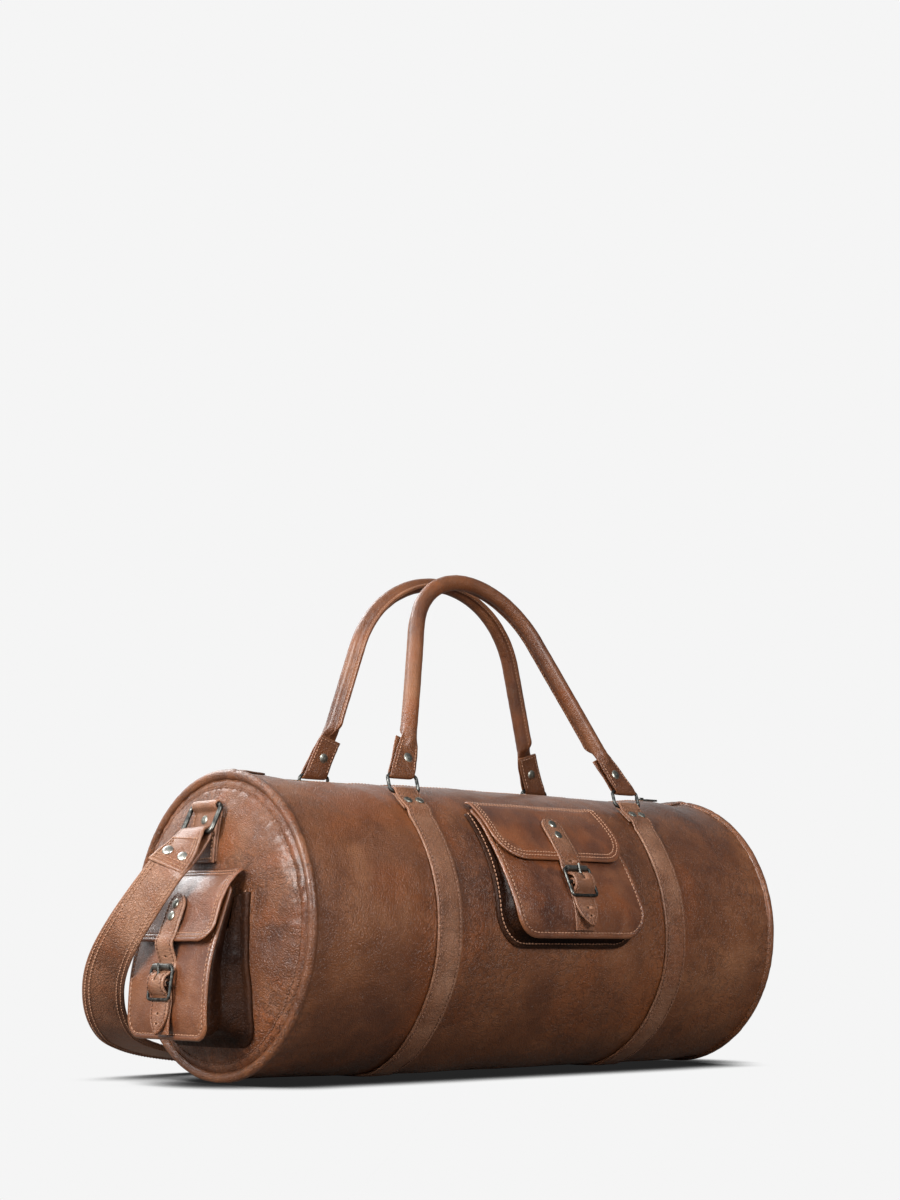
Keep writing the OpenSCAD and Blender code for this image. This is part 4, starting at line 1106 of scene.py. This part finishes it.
def make_front_pocket():
    make_panel("front", front_outline, front_panel_place, FRONT_LEVELS, 4.8, 196)
    make_flap("front", front_flap_outline, front_flap_place, FRONT_FLAP_LEVELS, 2.3, (4.2, 7.8))
    wall, flange = (open_line(front_outline(inset), 222) for inset in (3.2, -8))
    top = front_panel_place(wall[:, 0], wall[:, 1], -2.5)
    inward = unit(np.column_stack([-wall[:, 0] * 0.6, 0 * wall[:, 0], 165 - wall[:, 1]]))
    depth = np.linalg.norm(top - on_barrel(wall, 1.0), axis=1)[:, None]
    make_gusset("front", on_barrel, flange, wall, top, inward * np.minimum(depth / 22, 1.0),
                ((0, 0.4), (0, 1.9), (0.3, 2.1), (0.65, 1.7), (0.9, 1.8)),
                ((0.1, 0.4), (0.25, 2.0), (0.42, 4.6), (0.5, 5.6), (0.6, 4.6), (0.78, 1.8), (0.92, 0.3),
                 (1.0, 0.0)), (15, 8.8, 0.8))
    line = on_barrel(flange * 0.65 + wall * 0.35, 2.2)
    out = unit(line - np.column_stack([line[:, 0], 0 * line[:, 1], np.full(len(line), AXIS_Z)]))
    piece("front_flange_stitches", stitch_row(line, out, pitch=3.8), tan_thread, "bag_body")
    at = pivot("front_buckle_tilt")
    buckle = Buckle("front", lambda p: p, (at[1], at[2]), -26)
    make_closure(buckle, [tuple(polar(a, BARREL_R + h)[1:])
                          for a, h in ((65.5, 13.6), (62, 12.4), (57.5, 11.2), (51, 10.4), (47.6, 9.9))])
    make_chape(buckle, [(4.6, -10), (5.6, -14), (6.0, -21), (9.6, -32), (13.2, -40)])


# ------------------------------------------------------------------ end pockets
end_pocket_low, end_pocket_high = box("left_pocket_panel")
END_HALF, END_FOOT = end_pocket_high[1], end_pocket_low[2]
END_FLAP_HALF = box("left_pocket_flap")[1][1]
end_at = profile([(-326, 36), (-328, 60), (-324, 100), (-306, 155)])
END_FLAP = spline([(-293.9, 171.6), (-300.4, 166.0), (-307.6, 157.5), (-313.8, 146), (-319.4, 130),
                   (-326.5, 113)], 1.0)
END_LEVELS = [(1.2, 0.35), (2.4, 0.7), (3.6, 0.45), (4.6, -0.25), (5.6, 0.15), (8, 0.2), (13, 0.2),
              (20, 0.2), (28, 0.2)]
END_FLAP_LEVELS = [(1.3, 0.2), (2.8, 0.15), (4.0, -0.3), (5.2, 0.2), (6.2, 0.2), (7.2, -0.3),
                   (8.4, 0.2), (12, 0.3), (18, 0.3), (26, 0.3)]


class EndPocket:
    """Places the pieces of one end pocket. Its local x runs along Y, its local -y outwards."""

    def __init__(self, side):
        self.side = side
        self.length = len(END_FLAP) - 1.0
        tan = tangents(END_FLAP)
        out = np.stack([tan[:, 1], -tan[:, 0]], 1)
        self.flap_out = np.where(out[:, :1] < 0, out, -out)

    def place(self, p):
        return np.stack([-self.side * p[..., 1], p[..., 0], p[..., 2]], -1)

    def outline(self, inset):
        return rounded(-END_HALF, END_HALF, END_FOOT, 158, (14, 14, 4, 4), inset)

    def panel_place(self, x, z, h):
        y, ny, nz = end_at(z)
        p = np.stack(np.broadcast_arrays(x, y, z), -1)
        rim = np.minimum(END_HALF - np.abs(x), z - END_FOOT)
        puff = 1.6 * (1 - (x / END_HALF) ** 2) + fbm(p, 30, 3, 3.3 + self.side) * 1.4
        n = np.stack(np.broadcast_arrays(0 * x, ny, nz), -1)
        return self.place(p + n * (h + puff * step(rim, 2, 20))[..., None])

    def flap_outline(self, inset):
        return rounded(-END_FLAP_HALF, END_FLAP_HALF, 0.0, self.length, (15, 15, 3, 3), inset)

    def flap_place(self, x, s, h):
        """s runs up the flap from its lower edge."""
        along = np.clip(self.length - s, 0, self.length)
        d = np.arange(len(END_FLAP)) * 1.0
        y, z = (np.interp(along, d, END_FLAP[:, i]) for i in (0, 1))
        ny, nz = (np.interp(along, d, self.flap_out[:, i]) for i in (0, 1))
        p = np.stack(np.broadcast_arrays(x, y, z), -1)
        curl = 2.0 * np.exp(-(s / 9) ** 2) + 0.8 * np.exp(-((END_FLAP_HALF - 0.5 - np.abs(x)) / 6) ** 2)
        lift = (curl + fbm(p, 27, 3, 1.1 + self.side) * 0.8) * step(along, 0, 9)
        n = np.stack(np.broadcast_arrays(0 * x, ny, nz), -1)
        return self.place(p + n * (h + 1.3 + lift)[..., None])

    def seam_line(self, inset, top=153, n=170):
        """The gusset's line: the panel's outline below top, as n even points."""
        q = open_line(rounded(-END_HALF, END_HALF, END_FOOT, 190, (14, 14, 4, 4), inset), top)
        q[0, 1] = q[-1, 1] = top
        total = np.linalg.norm(np.diff(q, axis=0), axis=1).sum()
        return resample(q, total / (n - 1))[:n]

    def on_disc(self, q, h):
        r = np.hypot(q[:, 0], q[:, 1] - AXIS_Z)
        a = np.degrees(np.arctan2(-q[:, 0], q[:, 1] - AXIS_Z))
        return end_surface(np.minimum(r, RIM_R), a, self.side, h)


def make_end_pocket(side, name):
    pocket = EndPocket(side)
    make_panel(name, pocket.outline, pocket.panel_place, END_LEVELS, 4.6, 122)
    make_flap(name, pocket.flap_outline, pocket.flap_place, END_FLAP_LEVELS, 2.2, (4.0, 7.2))
    wall, flange = pocket.seam_line(2.6), pocket.seam_line(-5.0)
    top = pocket.panel_place(wall[:, 0], wall[:, 1], -2.5)
    inward = unit(np.column_stack([0 * wall[:, 0], -wall[:, 0], 100 - wall[:, 1]]))
    make_gusset(name, pocket.on_disc, flange, wall, top, inward,
                ((0, 0.3), (0, 1.8), (0.3, 2.0), (0.7, 1.7)),
                ((0.06, 0.2), (0.2, 1.2), (0.36, 4.4), (0.46, 7.6), (0.52, 8.2), (0.6, 6.6), (0.76, 2.4),
                 (0.9, 0.4), (1.0, 0.0)), (17, 5.8 + side, 1.6), (0.5, 0.2))
    line = pocket.on_disc(flange * 0.62 + wall * 0.38, 2.05)
    out = np.tile(v3(side, 0, 0), (len(line), 1))
    piece(f"{name}_flange_stitches", stitch_row(line, out, pitch=3.8), tan_thread, "bag_body")
    at = pivot("left_buckle_tilt")
    buckle = Buckle(name, pocket.place, (at[0], at[2]), -8)
    make_closure(buckle, [(-330.9, 112), (-327.6, 120), (-324.9, 128), (-320.0, 141), (-316.2, 152.5)])
    make_chape(buckle, [(4.6, -10), (5.4, -16), (5.6, -30), (7.0, -40)])


# ------------------------------------------------------------------ anchors and shoulder strap
RING_X, RING_Z = pivot("right_end_ring_swing")[0], pivot("right_end_ring_swing")[2]
TILT = math.radians(25)  # of an end ring, from upright


def make_anchor(side, name):
    """A patch on the disc, folded round the ring's upper bar and sewn to itself."""
    def on_face(z, h):
        return float(face_x(z - AXIS_Z)) + h, z

    keys = [on_face(z, 1.5) for z in (178.5, 186, 196, 206, 214, 219)]
    keys += [(RING_X + 3.2 * math.cos(q), RING_Z + 3.2 * math.sin(q))
             for q in np.radians([235, 205, 165, 125, 90, 55, 15, -25, -50])]
    keys += [on_face(z, 3.9) for z in (219, 214, 206, 196, 186, 177.5)]
    xz = spline(keys, 1.2)
    n = len(xz)
    path = np.column_stack([side * xz[:, 0], np.zeros(n), xz[:, 1]])
    across = np.tile(v3(0, 1, 0), (n, 1))
    out = np.tile(v3(side, 0, 0), (n, 1))
    nor = side * np.cross(tangents(path), across)
    w = 36.5 - 3.2 * np.exp(-((xz[:, 1] - 224) / 5) ** 2)
    part = ribbon(path, nor, w, 2.1, across=across, rough=0.2, seed=1.0 + side)[0]
    piece(f"strap_anchor_{name}", part, strap_leather, "bag_body", [f"strap_anchor_{name}"])
    outer = np.flatnonzero((np.arange(n) > n // 2) & (xz[:, 1] < 217) & (xz[:, 1] > 181))
    rows = []
    for k in (-1, 1):
        q = path[outer] + across[outer] * (k * 15.2) + out[outer] * 1.05
        rows.append(stitch_row(q, out[outer], pitch=3.3, length=2.4))
    y = np.linspace(-15, 15, 20)
    for z in (181.0, 207.0):
        q = np.column_stack([np.full(20, side * on_face(z, 5.1)[0]), y, np.full(20, z)])
        rows.append(stitch_row(q, out[:20], pitch=3.3, length=2.4))
    piece(f"anchor_stitches_{name}", join(rows), tan_thread, "bag_body")


# The shoulder strap's right half is drawn, and flipped for the left.
STRAP_BAR = v3(RING_X + 25 * math.sin(TILT), 0, RING_Z - 25 * math.cos(TILT))
DOWN, OUT, BACK = v3(0.70, 0, -0.714), v3(0.714, 0, 0.70), v3(0, 1, 0)
STRAP_FLOOR_Y = box("shoulder_strap")[1][1] - 18.14


def strap_face(turn):
    """The way the folded end faces, turned towards the front by some degrees."""
    return OUT * math.cos(math.radians(turn)) - BACK * math.sin(math.radians(turn))


def strap_path():
    """Points, and the way the leather faces at each: the squared end on top, round the ring, then
    down past the pocket to the floor behind the bag."""
    def layer(d, turn, h):
        return STRAP_BAR + DOWN * d + strap_face(turn) * h, strap_face(turn) * np.sign(h)

    keys = [layer(*k) for k in ((41, 34, 1.4), (30, 30, 1.4), (20, 22, 1.7), (9, 8, 3.3))]
    keys += [(STRAP_BAR + DOWN + OUT * 3.9, unit(OUT - DOWN * 0.3)), (STRAP_BAR - DOWN * 3.9, -DOWN),
             (STRAP_BAR + DOWN - OUT * 3.9, unit(-OUT - DOWN * 0.3))]
    keys += [layer(*k) for k in ((9, 8, -3.4), (20, 22, -1.9), (30, 30, -1.6), (42, 34, -1.6))]
    keys += [(v3(346, 32, 126), v3(-0.85, 0.5, -0.05)), (v3(343, 65, 93), v3(-0.75, 0.62, 0.2)),
             (v3(331, 88, 66), v3(-0.65, 0.6, 0.45)), (v3(311, 106, 43), v3(-0.5, 0.45, 0.75)),
             (v3(284, 121, 29), v3(-0.3, 0.3, 0.9)), (v3(236, 133, 18), v3(-0.1, 0.2, 0.98)),
             (v3(150, STRAP_FLOOR_Y - 1.9, 7), v3(0, 0.05, 1)), (v3(60, STRAP_FLOOR_Y, 3), v3(0, 0, 1)),
             (v3(-2, STRAP_FLOOR_Y, 3), v3(0, 0, 1))]
    both = spline(np.array([np.concatenate([p, unit(q)]) for p, q in keys]), 2.0)
    both = resample(both, 2.0, 3)
    return both[:, :3], unit(both[:, 3:])


def steady_across(path, facing):
    """The width direction, kept steady from the floor up."""
    tan = tangents(path)
    across = np.zeros_like(path)
    across[-1] = unit(np.cross(tan[-1], facing[-1]))
    for i in range(len(path) - 2, -1, -1):
        w = np.cross(tan[i], facing[i])
        if np.linalg.norm(w) < 0.5:
            w = across[i + 1]
        w = w if np.dot(w, across[i + 1]) >= 0 else -w
        w = unit(w) * 0.35 + across[i + 1] * 0.65
        across[i] = unit(w - tan[i] * np.dot(w, tan[i]))
    return across


def strap_stitches(path, across, up, s, width):
    """Two rows along each edge of the outer face, one along each edge of the inner face, and the
    sewn box on the folded end. Returns (line, way out) pairs."""
    middle = len(up) // 2
    outwards = np.sign(up[middle] @ (path[middle] - v3(150, 0, 110)))
    rows = []
    long = np.flatnonzero(s > 94)
    for k in (-1, 1):
        for inset, way in ((2.9, 1), (6.4, 1), (2.9, -1)):
            lift = up[long] * outwards * way
            edge = across[long] * (k * (width[long] / 2 - inset))[:, None]
            rows.append((path[long] + edge + lift * 1.45, lift))
    end = np.flatnonzero((s > 3) & (s < 31))
    lift = up[end] * np.sign(up[end] @ OUT)[:, None]
    for k in (-1, 1):
        for inset in (2.9, 5.6):
            edge = across[end] * (k * (width[end] / 2 - inset))[:, None]
            rows.append((path[end] + edge + lift * 1.5, lift))
    for i in (0, 2, len(end) - 1):
        over = np.linspace(-14.5, 14.5, 12)[:, None]
        rows.append((path[end[i]] + across[end[i]] * over + lift[i] * 1.6, np.tile(lift[i], (12, 1))))
    return rows


def strap_rivet(centre, way, along):
    """A domed cap whose underside is at centre."""
    outline = [(0, 1.5), (2.0, 1.45), (3.6, 1.15), (4.5, 0.6), (4.8, 0.15), (4.7, -0.5), (0, -0.5)]
    turn = np.radians(np.arange(28) * 360 / 28)[:, None]
    spoke = along * np.cos(turn) + DOWN * np.sin(turn)
    return capped(np.array([centre + spoke * max(r, 0.02) + way * h for r, h in outline]))


def make_shoulder_strap(side, name):
    flip = v3(side, 1, 1)
    path, facing = strap_path()
    across = steady_across(path, facing)
    s = np.arange(len(path)) * 2.0
    width = 36 - 2.0 * np.exp(-((s - 46) / 9) ** 2)
    (verts, faces), _, up = ribbon(path, facing, width, 2.8, across=across, rough=0.4, seed=12.0,
                                   crown=0.15)
    verts[:, 2] = np.maximum(verts[:, 2], 0.4)
    # Two places along the strap are listed beside its two bodies; piece() does not use them, so the strap is
    # neither attached nor bent.
    bend = ("bag_body", "shoulder_strap", *[path[np.argmin(np.abs(s - at))] * flip * MM for at in (102, 197)])
    piece(f"shoulder_strap_{name}", (verts * flip, faces), strap_leather, bend,
          ["shoulder_strap"])
    rows = [stitch_row(q * flip, lift * flip, pitch=3.6)
            for q, lift in strap_stitches(path, across, up, s, width)]
    piece(f"shoulder_stitches_{name}", join(rows), tan_thread, bend)
    top = strap_face(28)
    along = BACK * math.cos(math.radians(28)) + OUT * math.sin(math.radians(28))
    caps = []
    for y in (-8, 8):
        for way, h in ((1, 2.9), (-1, 3.1)):
            verts, faces = strap_rivet(STRAP_BAR + DOWN * 27 + along * y + top * (way * h), top * way, along)
            caps.append((verts * flip, faces))
    piece(f"strap_rivets_{name}", join(caps), bright, bend, ["strap_rivets"])


make_barrel()
make_lining()
make_zip_stitches()
for side, name in ((-1, "left"), (1, "right")):
    make_end_panel(side, name)
    make_piping(side, name)
    make_band(side, name)
    make_end_pocket(side, name)
    make_anchor(side, name)
    make_shoulder_strap(side, name)
make_zip_tapes()
make_zip_tabs()
make_handle(Handle("front", FRONT_RING, splay=22.5, lean=-17, seam=1, skew=-14.0, stretch=0.03))
make_handle(Handle("back", BACK_RING, splay=17.0, lean=6, seam=-1, skew=-6.0, stretch=-0.02))
make_front_pocket()


# ------------------------------------------------------------------ floor, light, camera
WHITE = 0.913


def floor_paper():
    """White paper: seen by the camera as even white with a thin painted contact shadow, and by bounced light
    as a dim warm brown, painted shade as though shadowed under the bag.
    """
    s = Shader(bpy.data.materials.new("floor_paper"))
    near = s.add("AmbientOcclusion", {"Distance": 0.055}, samples=24).outputs["AO"]
    # Painted contact shadow: ambient occlusion darkens the emitted white.
    level = s.span(near, 0.25, 0.93, 0.02 * WHITE, WHITE)
    tone = s.add("CombineColor", {0: level, 1: level, 2: level}).outputs[0]
    seen = s.add("Emission", {"Color": tone, "Strength": 1.0})
    # Painted shade for bounced light: the paper is a dim warm brown, as though shadowed under the bag.
    paper = s.add("BsdfDiffuse", {"Color": (0.17, 0.14, 0.12, 1.0)})
    return s.end(s.by_ray(seen, paper))


def make_floor():
    r = 14.0
    data = bpy.data.meshes.new("floor")
    data.from_pydata([(x * r, y * r, -0.0004) for x, y in ((-1, -1), (1, -1), (1, 1), (-1, 1))], [],
                     [(0, 1, 2, 3)])
    data.materials.append(floor_paper())
    o = bpy.data.objects.new("floor", data)
    bpy.context.scene.collection.objects.link(o)


def make_world():
    """Even white to the camera. To the bag it is a dim room, brighter above, to the left and behind."""
    world = bpy.data.worlds.new("studio")
    bpy.context.scene.world = world
    s = Shader(world)
    axes = s.add("SeparateXYZ", {"Vector": s.add("TexCoord").outputs["Generated"]}).outputs
    left = s.span(axes["X"], -1.0, 1.0, 0.40, 0.10, "LINEAR")
    above = s.span(axes["Z"], -0.2, 1.0, 0.55, 1.3, "LINEAR")
    behind = s.span(axes["Y"], 0.15, 0.85, 0.0, 0.75, "LINEAR")
    level = s.math("ADD", s.math("MULTIPLY", left, above), behind)
    room = s.add("Background", {"Color": (1, 1, 1, 1), "Strength": level})
    wall = s.add("Background", {"Color": (WHITE, WHITE, WHITE, 1), "Strength": 1.0})
    s.end(s.by_ray(wall, room), "OutputWorld")


def lamp(name, at, towards, size, power, color=(1, 1, 1)):
    """A rectangular area light, in metres and watts."""
    light = bpy.data.lights.new(name, "AREA")
    light.shape = "RECTANGLE"
    light.size, light.size_y = size
    light.energy = power
    light.color = color
    o = bpy.data.objects.new(name, light)
    bpy.context.scene.collection.objects.link(o)
    o.location = at
    o.rotation_euler = (Vector(towards) - Vector(at)).to_track_quat("-Z", "Y").to_euler()


def make_camera():
    """The photo's camera: low at the bag's front left, turned up a little."""
    o = bpy.data.objects.new("camera", bpy.data.cameras.new("camera"))
    bpy.context.scene.collection.objects.link(o)
    o.location = (-1.2595, -1.4016, 0.1029)
    turn, rise = math.radians(41.41), math.radians(9.89)
    look = Vector((math.sin(turn) * math.cos(rise), math.cos(turn) * math.cos(rise), math.sin(rise)))
    o.rotation_euler = look.to_track_quat("-Z", "Y").to_euler()
    o.data.lens = 61.14
    o.data.sensor_width = 36
    bpy.context.scene.camera = o


make_floor()
make_world()
lamp("key", (-2.3, -0.3, 1.2), (-0.15, 0, 0.15), (1.1, 1.1), 104, (1.0, 0.985, 0.965))
lamp("front", (-0.5, -2.5, 1.1), (0, 0, 0.10), (1.3, 0.9), 60)
lamp("back", (-0.3, 1.7, 1.7), (-0.1, 0, 0.15), (1.5, 0.8), 34)
make_camera()
bpy.context.scene.view_settings.view_transform = "Standard"
